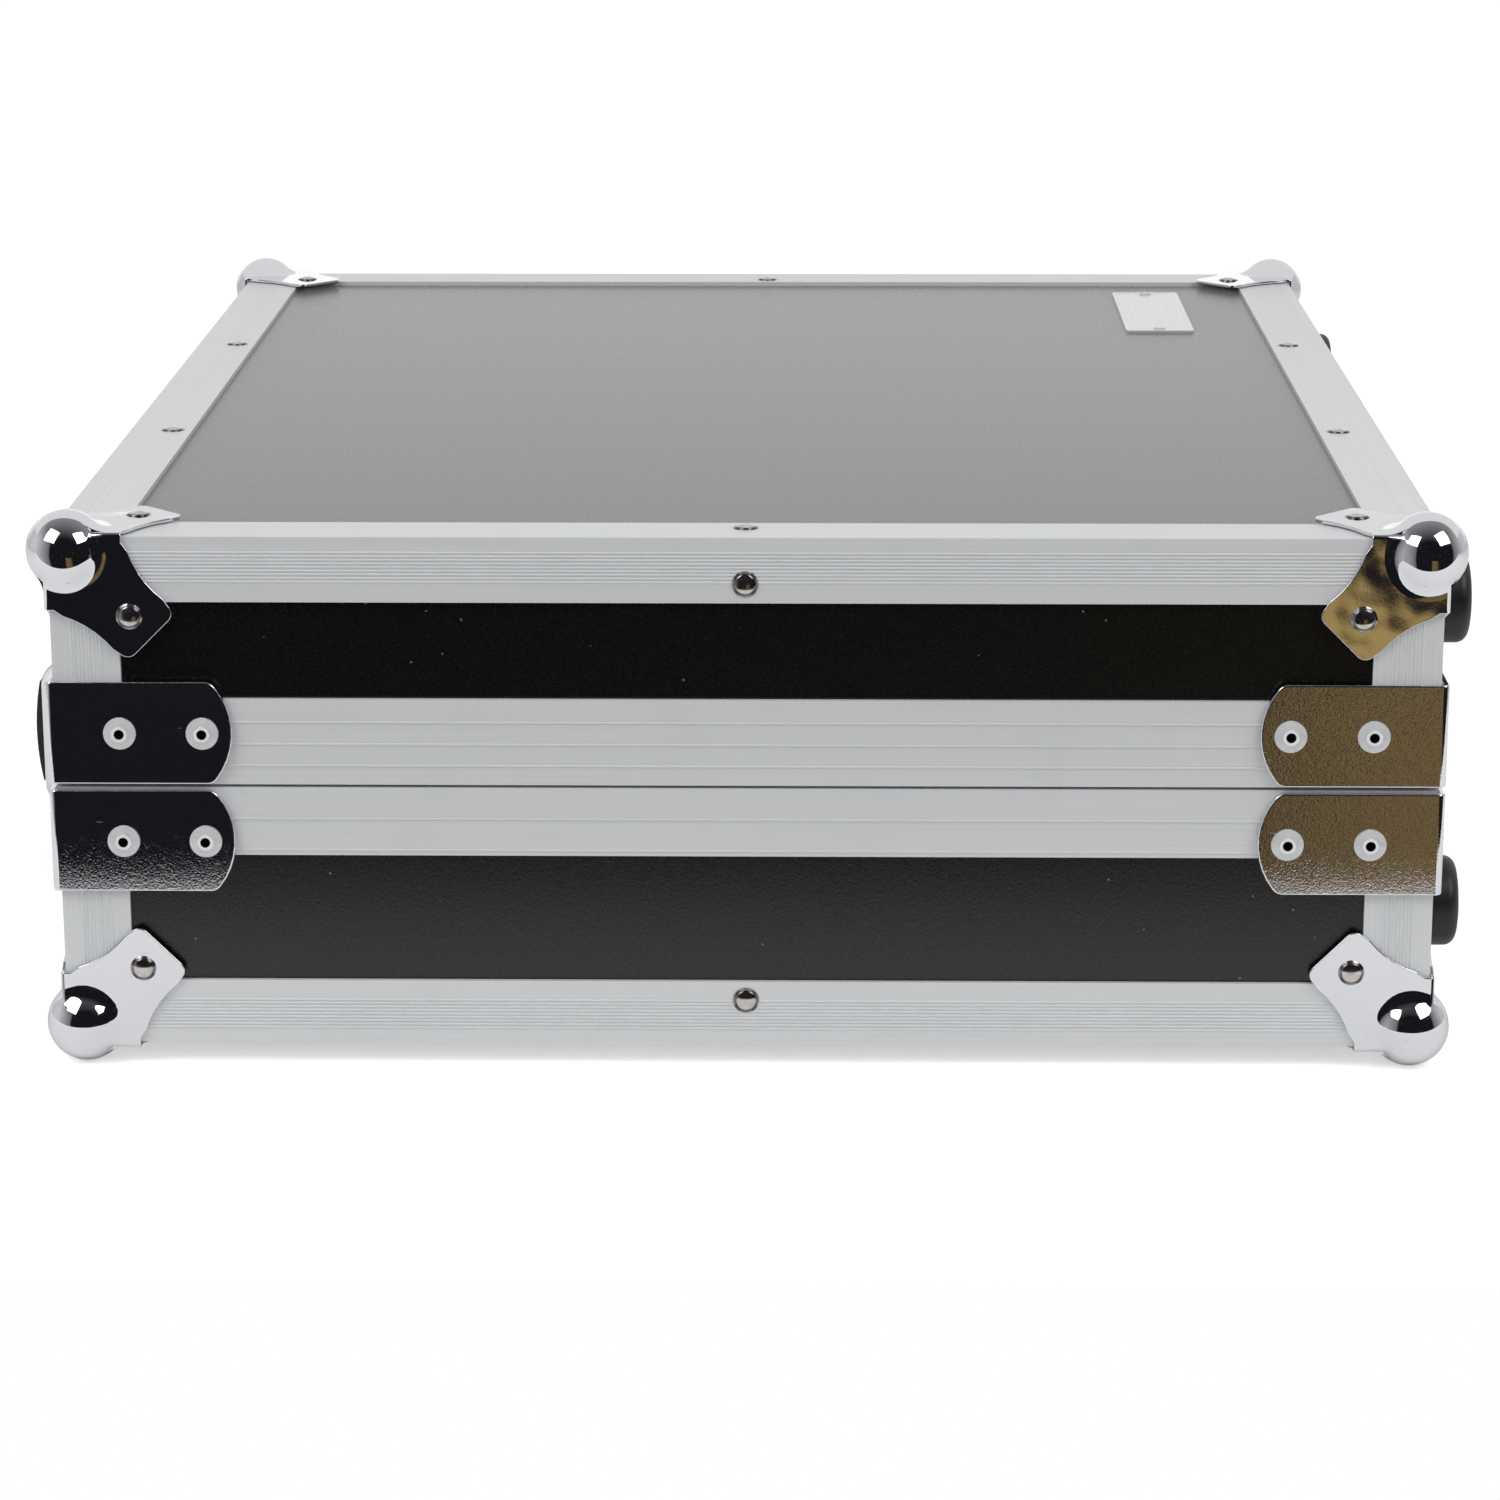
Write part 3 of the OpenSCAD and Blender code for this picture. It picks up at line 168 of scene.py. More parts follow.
def layered(tree: Tree, colour: Source | str, *layers: tuple[Source, Ramp, Source | str]) -> Source | str:
    """Lay colours over a first one.

    Args:
        tree: the node tree.
        colour: the first colour.
        layers: for each colour over it the value that it follows, the ramp that turns this value into
            the colour's share, and the colour.

    Returns:
        The colour with all layers over it.
    """
    for value, ramp, over in layers:
        share = add_node(tree, "MapRange", ramp.of(value))
        # A mix node that mixes colours has its share at input 0 and its colours at 6 and 7.
        colour = add_node(tree, "Mix", {"data_type": "RGBA", 0: share, 6: colour, 7: over})
    return colour


@dataclass(frozen=True)
class Finish:
    """A finish of the real case: its main colour, the colour it drifts to, and its roughness."""

    name: str
    colour: str
    drift: str
    roughness: float

    def material(self) -> bpy.types.Material:
        """Make this finish's material the first time that it is asked for.

        Returns:
            The material.
        """
        made = bpy.data.materials.get(self.name)
        if made is None:
            made = bpy.data.materials.new(self.name)
            made.use_nodes = True
            made.node_tree.nodes.clear()
            add_node(made.node_tree, "OutputMaterial", {"Surface": self.surface(made.node_tree)})
        return made

    def surface(self, tree: Tree) -> Node:
        """Build the finish's nodes and return the shader."""
        raise NotImplementedError

    def places(self, tree: Tree, stretch: Triple = EVEN) -> Node:
        """Return the piece's own places in millimetres, each direction multiplied by its stretch."""
        own = add_node(tree, "TexCoord").outputs["Object"]
        return add_node(tree, "VectorMath", {"operation": "MULTIPLY", 0: own,
                                             1: [PER_MM * share for share in stretch]})


@dataclass(frozen=True)
class EmbossedLaminate(Finish):
    """Black melamine laminate pressed with a fine pebble grain, which mirrors softly at a low angle."""

    # The real grain is about 0.5 mm, drawn coarser here so that it shows.
    grain_mm: float = 0.9
    grain_softness: float = 0.6
    grain_relief: Relief = Relief(0.022, 0.8)
    tooth: Lumps = Lumps(0.6, 2.0)
    tooth_tones: Ramp = Ramp(0.35, 0.65)
    tooth_relief: Relief = Relief(0.022, 0.7)
    tooth_rougher: Ramp = Ramp(0.3, 0.7, -0.02, 0.03)
    speck_apart_mm: float = 9.0
    speck_mm: Span = (0.25, 0.4)
    speck_share: float = 0.6
    speck_colour: str = "#8A8983"
    ior: float = 1.6
    sheen: float = 0.6
    sheen_roughness: float = 0.3

    def surface(self, tree: Tree) -> Node:
        """Lay pebble grain and a fine tooth over even black, with a pale speck of dust here and there.

        Args:
            tree: the material's node tree.

        Returns:
            The shader.
        """
        at = self.places(tree)
        pebbles = add_node(tree, "TexVoronoi", {
            "feature": "SMOOTH_F1", "Vector": at, "Scale": 1 / self.grain_mm,
            "Smoothness": self.grain_softness})
        tooth = add_node(tree, "TexNoise", self.tooth.at(at))
        specks = add_node(tree, "TexVoronoi", {"Vector": at, "Scale": 1 / self.speck_apart_mm})
        inside, outside = (size / self.speck_apart_mm for size in self.speck_mm)
        colour = layered(tree, self.colour, (tooth, self.tooth_tones, self.drift),
                         (specks, Ramp(inside, outside, self.speck_share, 0.0), self.speck_colour))
        rough = add_node(tree, "MapRange", self.tooth_rougher.of(tooth, self.roughness))
        normal = add_node(tree, "Bump", self.grain_relief.by(pebbles))
        normal = add_node(tree, "Bump", {"Normal": normal, **self.tooth_relief.by(tooth)})
        return add_node(tree, "BsdfPrincipled", {
            "Base Color": colour, "Roughness": rough, "Normal": normal, "IOR": self.ior,
            "Sheen Weight": self.sheen, "Sheen Roughness": self.sheen_roughness})


@dataclass(frozen=True)
class BirchPly(Finish):
    """The bare face and sawn edge of birch ply, pale with brown glue lines."""

    grain: Lumps = Lumps(1.6, 6.0, 0.65, (0.06, 0.06, 1.0))
    grain_veins: Ramp = Ramp(0.35, 0.7)
    grain_relief: Relief = Relief(0.05)

    def surface(self, tree: Tree) -> Node:
        """Draw long grain with darker veins.

        Args:
            tree: the material's node tree.

        Returns:
            The shader.
        """
        grain = add_node(tree, "TexNoise", self.grain.at(self.places(tree, self.grain.stretch)))
        return add_node(tree, "BsdfPrincipled", {
            "Base Color": layered(tree, self.colour, (grain, self.grain_veins, self.drift)),
            "Roughness": self.roughness, "Normal": add_node(tree, "Bump", self.grain_relief.by(grain))})


@dataclass(frozen=True)
class AnodisedAluminium(Finish):
    """Extruded aluminium with a satin anodised skin, pale and even with fine die lines along its length."""

    along: Axis = Axis.X
    metallic: float = 0.17
    line_mm: float = 0.6
    run_mm: float = 600.0
    line_detail: float = 1.0
    line_tones: Ramp = Ramp(0.3, 0.7, 0.0, 0.6)
    line_rougher: Ramp = Ramp(0.3, 0.7, -0.02, 0.02)
    line_relief: Relief = Relief(0.0001, 0.6)
    handling: Lumps = Lumps(30.0)
    handling_tones: Ramp = Ramp(0.5, 0.75, 0.0, 0.3)
    scuffs: Lumps = Lumps(2.2, 2.0, 0.5, (0.3, 1.0, 0.55))
    scuff_tones: Ramp = Ramp(0.76, 0.8, 0.0, 0.3)
    scuff_colour: str = "#B4B6B8"

    def surface(self, tree: Tree) -> Node:
        """Draw faint die lines along the extrusion, soft handling marks and a few short scuffs.

        Args:
            tree: the material's node tree.

        Returns:
            The shader.
        """
        drawn_out = tuple(self.line_mm / self.run_mm if part else 1.0 for part in self.along.value)
        lumps = Lumps(self.line_mm, self.line_detail, stretch=drawn_out), self.handling, self.scuffs
        lines, handled, scuffed = (add_node(tree, "TexNoise", each.at(self.places(tree, each.stretch)))
                                   for each in lumps)
        colour = layered(tree, self.colour, (lines, self.line_tones, self.drift),
                         (handled, self.handling_tones, self.drift),
                         (scuffed, self.scuff_tones, self.scuff_colour))
        return add_node(tree, "BsdfPrincipled", {
            "Base Color": colour, "Metallic": self.metallic,
            "Roughness": add_node(tree, "MapRange", self.line_rougher.of(lines, self.roughness)),
            "Normal": add_node(tree, "Bump", self.line_relief.by(lines))})


@dataclass(frozen=True)
class BrightPlatedSteel(Finish):
    """Pressed steel with bright plating, a mirror with the faint pebble of the sheet under it."""

    pebble: Lumps = Lumps(0.9, 2.0, 0.55)
    pebble_relief: Relief = Relief(0.002)
    wave: Lumps = Lumps(12.0, 1.0)
    wave_relief: Relief = Relief(0.09)
    marks: Lumps = Lumps(1.3, 1.0, 0.5, (0.12, 1.0, 1.4))
    mark_rougher: Ramp = Ramp(0.79, 0.82, 0.0, 0.22)
    dull: Lumps = Lumps(2.6, 6.0, 0.7)
    dull_tones: Ramp = Ramp(0.62, 0.72)
    dull_rougher: Ramp = Ramp(0.62, 0.72, 0.0, 0.1)

    def surface(self, tree: Tree) -> Node:
        """Draw the sheet's pebble and slow waves, hairline marks and specks where the plating is dull.

        Args:
            tree: the material's node tree.

        Returns:
            The shader.
        """
        at = self.places(tree)
        pebble, wave, dull = (add_node(tree, "TexNoise", each.at(at))
                              for each in (self.pebble, self.wave, self.dull))
        marks = add_node(tree, "TexNoise", self.marks.at(self.places(tree, self.marks.stretch)))
        rough = add_node(tree, "Math", {
            "operation": "ADD", 0: add_node(tree, "MapRange", self.dull_rougher.of(dull, self.roughness)),
            1: add_node(tree, "MapRange", self.mark_rougher.of(marks))})
        normal = add_node(tree, "Bump", self.wave_relief.by(wave))
        normal = add_node(tree, "Bump", {"Normal": normal, **self.pebble_relief.by(pebble)})
        return add_node(tree, "BsdfPrincipled", {
            "Base Color": layered(tree, self.colour, (dull, self.dull_tones, self.drift)),
            "Metallic": 1.0, "Roughness": rough, "Normal": normal})


@dataclass(frozen=True)
class RivetMetal(Finish):
    """The turned or drawn metal of a rivet head, with small dull patches and painted shade where it slopes.
    """

    metallic: float = 1.0
    # From how squarely a place faces along the case's own directions to its share of painted shade, which
    # darkens the head where it slopes.
    painted_slope_shade: Ramp = Ramp(0.8, 0.94, 0.85, 0.0)
    # Painted shade: the dark colour laid where the head slopes.
    painted_shade_colour: str = "#4A4B4D"
    patches: Lumps = Lumps(2.4, 5.0, 0.65)
    patch_tones: Ramp = Ramp(0.45, 0.7)
    patch_rougher: Ramp = Ramp(0.45, 0.7, 0.0, 0.12)
    scratches: Lumps = Lumps(0.5, 2.0)
    scratch_relief: Relief = Relief(0.004, 0.6)

    def square_on(self, tree: Tree) -> Node:
        """Find how squarely the surface faces along one of the case's own directions.

        Args:
            tree: the material's node tree.

        Returns:
            The node that gives it, one where the surface faces right along a direction.
        """
        facing = add_node(tree, "TexCoord").outputs["Normal"]
        facing = add_node(tree, "VectorMath", {"operation": "ABSOLUTE", 0: facing})
        sides = add_node(tree, "SeparateXYZ", {0: facing}).outputs
        level = add_node(tree, "Math", {"operation": "MAXIMUM", 0: sides["X"], 1: sides["Y"]})
        return add_node(tree, "Math", {"operation": "MAXIMUM", 0: level, 1: sides["Z"]})

    def surface(self, tree: Tree) -> Node:
        """Draw small dull patches, fine scratches and a painted ring of shade where the head slopes.

        Args:
            tree: the material's node tree.

        Returns:
            The shader.
        """
        at = self.places(tree)
        patches, scratches = (add_node(tree, "TexNoise", each.at(at))
                              for each in (self.patches, self.scratches))
        # The second layer is painted shade, laid where the head slopes.
        colour = layered(tree, self.colour, (patches, self.patch_tones, self.drift),
                         (self.square_on(tree), self.painted_slope_shade, self.painted_shade_colour))
        return add_node(tree, "BsdfPrincipled", {
            "Base Color": colour, "Metallic": self.metallic,
            "Roughness": add_node(tree, "MapRange", self.patch_rougher.of(patches, self.roughness)),
            "Normal": add_node(tree, "Bump", self.scratch_relief.by(scratches))})


@dataclass(frozen=True)
class MouldedRubber(Finish):
    """Black moulded rubber, matt with a fine skin and a grey bloom."""

    ior: float = 1.52
    bloom: Lumps = Lumps(7.0, 5.0, 0.6)
    bloom_tones: Ramp = Ramp(0.45, 0.75)
    bloom_rougher: Ramp = Ramp(0.45, 0.75, 0.0, 0.15)
    skin: Lumps = Lumps(0.5)
    skin_relief: Relief = Relief(0.03, 0.7)

    def surface(self, tree: Tree) -> Node:
        """Lay a fine moulded skin and patches of grey bloom over black.

        Args:
            tree: the material's node tree.

        Returns:
            The shader.
        """
        at = self.places(tree)
        bloom, skin = (add_node(tree, "TexNoise", each.at(at)) for each in (self.bloom, self.skin))
        return add_node(tree, "BsdfPrincipled", {
            "Base Color": layered(tree, self.colour, (bloom, self.bloom_tones, self.drift)), "IOR": self.ior,
            "Roughness": add_node(tree, "MapRange", self.bloom_rougher.of(bloom, self.roughness)),
            "Normal": add_node(tree, "Bump", self.skin_relief.by(skin))})


@dataclass(frozen=True)
class CutFoam(Finish):
    """Charcoal polyurethane foam cut with a wire, matt and full of small open cells."""

    # The real cells are about 0.8 mm, drawn coarser here so that they show.
    cell_mm: float = 1.3
    # From the distance to a cell's middle to the share of the paler wall colour; the darker middle is painted
    # shade in the open cell.
    walls: Ramp = Ramp(0.15, 0.6)
    wall_relief: Relief = Relief(0.25, 0.9)
    uneven: Lumps = Lumps(22.0, 4.0)
    uneven_tones: Ramp = Ramp(0.4, 0.7, 0.0, 0.5)
    sheen: float = 0.25

    def surface(self, tree: Tree) -> Node:
        """Draw open cells, darkened inside by painted shade and paler on their walls.

        Args:
            tree: the material's node tree.

        Returns:
            The shader.
        """
        at = self.places(tree)
        cells = add_node(tree, "TexVoronoi", {"Vector": at, "Scale": 1 / self.cell_mm})
        uneven = add_node(tree, "TexNoise", self.uneven.at(at))
        walls = add_node(tree, "MapRange", self.walls.of(cells))
        # The cells' darker middles are painted shade, with the paler colour on their walls.
        colour = layered(tree, self.colour, (cells, self.walls, self.drift),
                         (uneven, self.uneven_tones, self.colour))
        return add_node(tree, "BsdfPrincipled", {
            "Base Color": colour, "Roughness": self.roughness, "Sheen Weight": self.sheen,
            "Normal": add_node(tree, "Bump", self.wall_relief.by(walls))})


# Embossed laminate: near black from the front, and a soft even grey at a low angle.
LAMINATE = EmbossedLaminate("embossed_black_laminate", "#040504", "#070807", 0.26)
# Sawn birch ply: warm, pale and dull, and seen only when the lid is open.
PLY = BirchPly("birch_ply", "#C9A877", "#A67F4F", 0.6)
# Anodised extrusion: a pale satin without sharp reflections, whose lines run along each length.
ALUMINIUM = {axis: AnodisedAluminium(f"anodised_aluminium_{axis.name.lower()}", "#D6D8DA", "#CBCDCF", 0.4,
                                     along=axis) for axis in Axis}
# Bright plating on pressed steel: a clear mirror, bent a little by the press.
STEEL = BrightPlatedSteel("bright_plated_steel", "#E6E7EA", "#D2D3D5", 0.04)
# The same plating on the brackets' flat sheet: its pebble breaks up the edges of what it mirrors.
SHEET = BrightPlatedSteel("plated_bracket_sheet", "#E6E7EA", "#D6D7D9", 0.06, pebble=Lumps(0.55, 2.0, 0.55),
                          pebble_relief=Relief(0.03), wave_relief=Relief(0.03))
# Nickel plating on domed rivets: a warm mirror with a rim darkened by painted shade.
NICKEL = RivetMetal("nickel_plated_rivet", "#D4CECA", "#B8B1AC", 0.12)
# Drawn aluminium of the blind rivets: nearly white, with a faint ring of painted shade on the head.
BLIND = RivetMetal("drawn_aluminium_rivet", "#F0F1F3", "#E2E3E5", 0.22, metallic=0.15,
                   painted_slope_shade=Ramp(0.93, 0.998, 0.45, 0.0))
# Steel of the mandrel that broke off inside each blind rivet, with painted shade on the walls of its hole: a
# dark dot.
MANDREL_AND_HOLE_SHADE = RivetMetal("mandrel_steel_and_painted_hole_shade", "#26272A", "#3A3B3D", 0.45, metallic=0.6)
# Moulded rubber: matt black with a grey bloom.
RUBBER = MouldedRubber("moulded_rubber", "#141516", "#26282A", 0.42)
# Cut foam: dull charcoal with open cells, whose insides are darkened by painted shade.
FOAM = CutFoam("cut_foam", "#1D1E20", "#35373A", 0.95)
# Brushed aluminium of the badge plate: silver with fine lines along its length.
PLATE = AnodisedAluminium("brushed_badge_plate", "#E6E6E4", "#D6D6D3", 0.35, along=Axis.Y, metallic=0.5,
                          line_mm=0.4, run_mm=60.0)


def dress(name: str, finish: Finish) -> Object:
    """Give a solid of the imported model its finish.

    Args:
        name: the solid's node.
        finish: what it is made of.

    Returns:
        The node's object.
    """
    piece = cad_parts[name]
    piece.data.materials.clear()
    piece.data.materials.append(finish.material())
    return piece


def mesh_piece(name: str, built: bmesh.types.BMesh, finish: Finish, body: str,
               smooth: bool = True) -> Object:
    """Turn a built mesh into a piece that rides on a body.

    Args:
        name: the piece's name.
        built: its mesh, which is freed.
        finish: what it is made of.
        body: the body that carries it.
        smooth: whether its faces are shaded smooth.

    Returns:
        The new object.
    """
    mesh = bpy.data.meshes.new(name)
    built.to_mesh(mesh)
    built.free()
    for face in mesh.polygons:
        face.use_smooth = smooth
    mesh.materials.append(finish.material())
    piece = bpy.data.objects.new(name, mesh)
    bpy.context.scene.collection.objects.link(piece)
    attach(piece, body)
    return piece


@dataclass(frozen=True)
class Easing:
    """The small rounding that tumbling and plating give a sharp edge.

    Edges that turn more than turn_deg are rounded. Points nearer than sliver_mm become one, and faces
    that turn less than flat_deg become one, so that no sliver holds the rounding back.
    """

    width_mm: float
    turn_deg: float = 35.0
    sliver_mm: float = 0.002
    flat_deg: float = 0.4
    steps: int = 3

    def dressed(self, name: str, finish: Finish) -> Object:
        """Dress a solid and round its sharp edges.

        Args:
            name: the solid's node.
            finish: what it is made of.

        Returns:
            The node's object.
        """
        piece = dress(name, finish)
        weld = piece.modifiers.new("weld", "WELD")
        weld.merge_threshold = self.sliver_mm * MM
        flat = piece.modifiers.new("flat", "DECIMATE")
        flat.decimate_type = "DISSOLVE"
        flat.angle_limit = math.radians(self.flat_deg)
        bevel = piece.modifiers.new("bevel", "BEVEL")
        bevel.width = self.width_mm * MM
        bevel.segments = self.steps
        bevel.limit_method = "ANGLE"
        bevel.angle_limit = math.radians(self.turn_deg)
        bevel.use_clamp_overlap = False
        bevel.harden_normals = True
        return piece


@dataclass
class Panels:
    """The laminated ply: floor, lid panel and the four walls of each half."""

    flats: dict[str, Vector] = field(default_factory=lambda: {
        "base_floor": Vector((0, 0, -1)), "lid_panel": Vector((0, 0, 1))})
    outward: dict[str, Vector] = field(default_factory=lambda: {
        "near": Vector((0, -1, 0)), "back": Vector((1, 0, 0)),
        "far": Vector((0, 1, 0)), "front": Vector((-1, 0, 0))})
    outer_least: float = 0.7

    def build(self) -> list[Object]:
        """Face each panel with laminate on its outer side and leave the ply bare elsewhere.

        Returns:
            The panels.
        """
        facing = dict(self.flats)
        for half in Half:
            for side, way in self.outward.items():
                facing[f"{half.value}_wall_{side}"] = way
        pieces = []
        for name, way in facing.items():
            piece = dress(name, LAMINATE)
            piece.data.materials.append(PLY.material())
            for face in piece.data.polygons:
                face.material_index = 0 if face.normal.dot(way) > self.outer_least else 1
            pieces.append(piece)
        return pieces


@dataclass
class Edging:
    """The aluminium: edging and seam extrusions on four sides of each half, and the corner posts."""

    runs: dict[str, Axis] = field(default_factory=lambda: {
        "near": Axis.X, "back": Axis.Y, "far": Axis.X, "front": Axis.Y})

    def build(self) -> list[Object]:
        """Dress every length with die lines along its own direction.

        Returns:
            The lengths and the posts.
        """
        lengths = [(f"{half.value}_posts", Axis.Z) for half in Half]
        lengths += [(f"{half.value}_{part}_{side}", axis) for half in Half for side, axis in self.runs.items()
                    for part in ("edge", "rim")]
        return [dress(name, ALUMINIUM[axis]) for name, axis in lengths]


@dataclass
class Hardware:
    """The plated steel: ball corners, seam brackets, hinges, latches and the handle's frame."""

    corner_easing: Easing = Easing(0.32, turn_deg=80.0, sliver_mm=0.3)
    bracket_easing: Easing = Easing(0.55)
    small_easing: Easing = Easing(0.3)
    corners: tuple[str, ...] = ("base_ball_corners", "lid_ball_corners")
    brackets: tuple[str, ...] = ("base_seam_brackets", "lid_seam_brackets")
    small: tuple[str, ...] = (
        "base_hinge_leaves", "lid_hinge_leaves", "hinge_pins", "latch_pivots", "catch_studs", "handle_plate",
        "handle_pins", "handle_bow")
    latch_parts: tuple[str, ...] = ("latch_dish", "catch_dish", "latch_key", "latch_claw", "latch_flap")

    def build(self) -> list[Object]:
        """Plate every piece and ease its edges.

        Returns:
            The plated pieces.
        """
        latches = tuple(f"{part}_{end}" for part in self.latch_parts for end in ("near", "far"))
        groups = ((self.corners, STEEL, self.corner_easing), (self.brackets, SHEET, self.bracket_easing),
                  (self.small + latches, STEEL, self.small_easing))
        return [easing.dressed(name, finish) for names, finish, easing in groups for name in names]


@dataclass
class Fasteners:
    """The rivets of both halves: domed ones in the edging, blind ones in the brackets and fittings."""

    sliver_mm: float = 0.02
    same_place_mm: float = 0.01
    hole_mm: float = 1.56
    hole_depth_mm: float = 4.1

    def solids(self, mesh: bpy.types.Mesh) -> Iterable[list[bpy.types.MeshPolygon]]:
        """Sort the faces of a mesh into its solids, by the places that faces share.

        Args:
            mesh: a mesh that holds several solids.

        Returns:
            The faces of each solid.
        """
        first: dict[tuple[int, ...], int] = {}
        parent = list(range(len(mesh.polygons)))
        fine = PER_MM / self.same_place_mm

        def top(at: int) -> int:
            """Find the face that stands for this one's solid.

            Args:
                at: a face's number.

            Returns:
                The number of the face that stands for its solid.
            """
            while parent[at] != at:
                parent[at] = parent[parent[at]]
                at = parent[at]
            return at

        for face in mesh.polygons:
            for vertex in face.vertices:
                place = tuple(round(part * fine) for part in mesh.vertices[vertex].co)
                parent[top(face.index)] = top(first.setdefault(place, face.index))
        groups: dict[int, list[bpy.types.MeshPolygon]] = {}
        for face in mesh.polygons:
            groups.setdefault(top(face.index), []).append(face)
        return groups.values()

    def paint_hole_shade(self, mesh: bpy.types.Mesh, faces: list[bpy.types.MeshPolygon]) -> int:
        """Give the inside of one blind rivet's hole its dark finish: the mandrel's steel at the bottom, and
        painted shade on the hole's walls.

        Args:
            mesh: the mesh that holds the rivet.
            faces: the rivet's faces.

        Returns:
            How many faces lie in the hole.
        """
        places = [mesh.vertices[v].co for face in faces for v in face.vertices]
        low = [min(p[i] for p in places) for i in range(3)]
        high = [max(p[i] for p in places) for i in range(3)]
        along = max(range(3), key=lambda i: high[i] - low[i])
        around = [i for i in range(3) if i != along]
        middle = [(low[i] + high[i]) / 2 for i in range(3)]

        def radius(place: Vector) -> float:
            """Return the distance from the rivet's axis in millimetres."""
            return PER_MM * math.hypot(*(place[i] - middle[i] for i in around))

        widest = max(places, key=radius)
        outer = high[along] if widest[along] > middle[along] else low[along]

        def in_hole(place: Vector) -> bool:
            """Return whether a place lies in the hole."""
            return radius(place) < self.hole_mm and abs(place[along] - outer) < self.hole_depth_mm * MM

        inside = [face for face in faces if all(in_hole(mesh.vertices[v].co) for v in face.vertices)]
        for face in inside:
            face.material_index = 1
        return len(inside)

    def build(self) -> list[Object]:
        """Dress the domed rivets as nickel, and the blind ones as drawn aluminium with holes darkened by
        painted shade.

        Returns:
            The rivets, one object of each kind for each half.
        """
        pieces = []
        for half in Half:
            domes = dress(f"{half.value}_domed_rivets", NICKEL)
            domes.modifiers.new("weld", "WELD").merge_threshold = self.sliver_mm * MM
            domes.modifiers.new("even", "WEIGHTED_NORMAL").mode = "FACE_AREA"
            blind = dress(f"{half.value}_blind_rivets", BLIND)
            # The second material is the mandrel's steel and the painted shade inside each hole.
            blind.data.materials.append(MANDREL_AND_HOLE_SHADE.material())
            holes = [self.paint_hole_shade(blind.data, faces) for faces in self.solids(blind.data)]
            log.info("%s: %d rivets, fewest faces in a hole %d", blind.name, len(holes), min(holes))
            pieces += [domes, blind]
        return pieces


@dataclass
class RubberParts:
    """The feet on the back and the handle's grip."""

    names: tuple[str, ...] = ("base_feet", "lid_feet", "handle_grip")

    def build(self) -> list[Object]:
        """Dress each as moulded rubber and return them."""
        return [dress(name, RUBBER) for name in self.names]


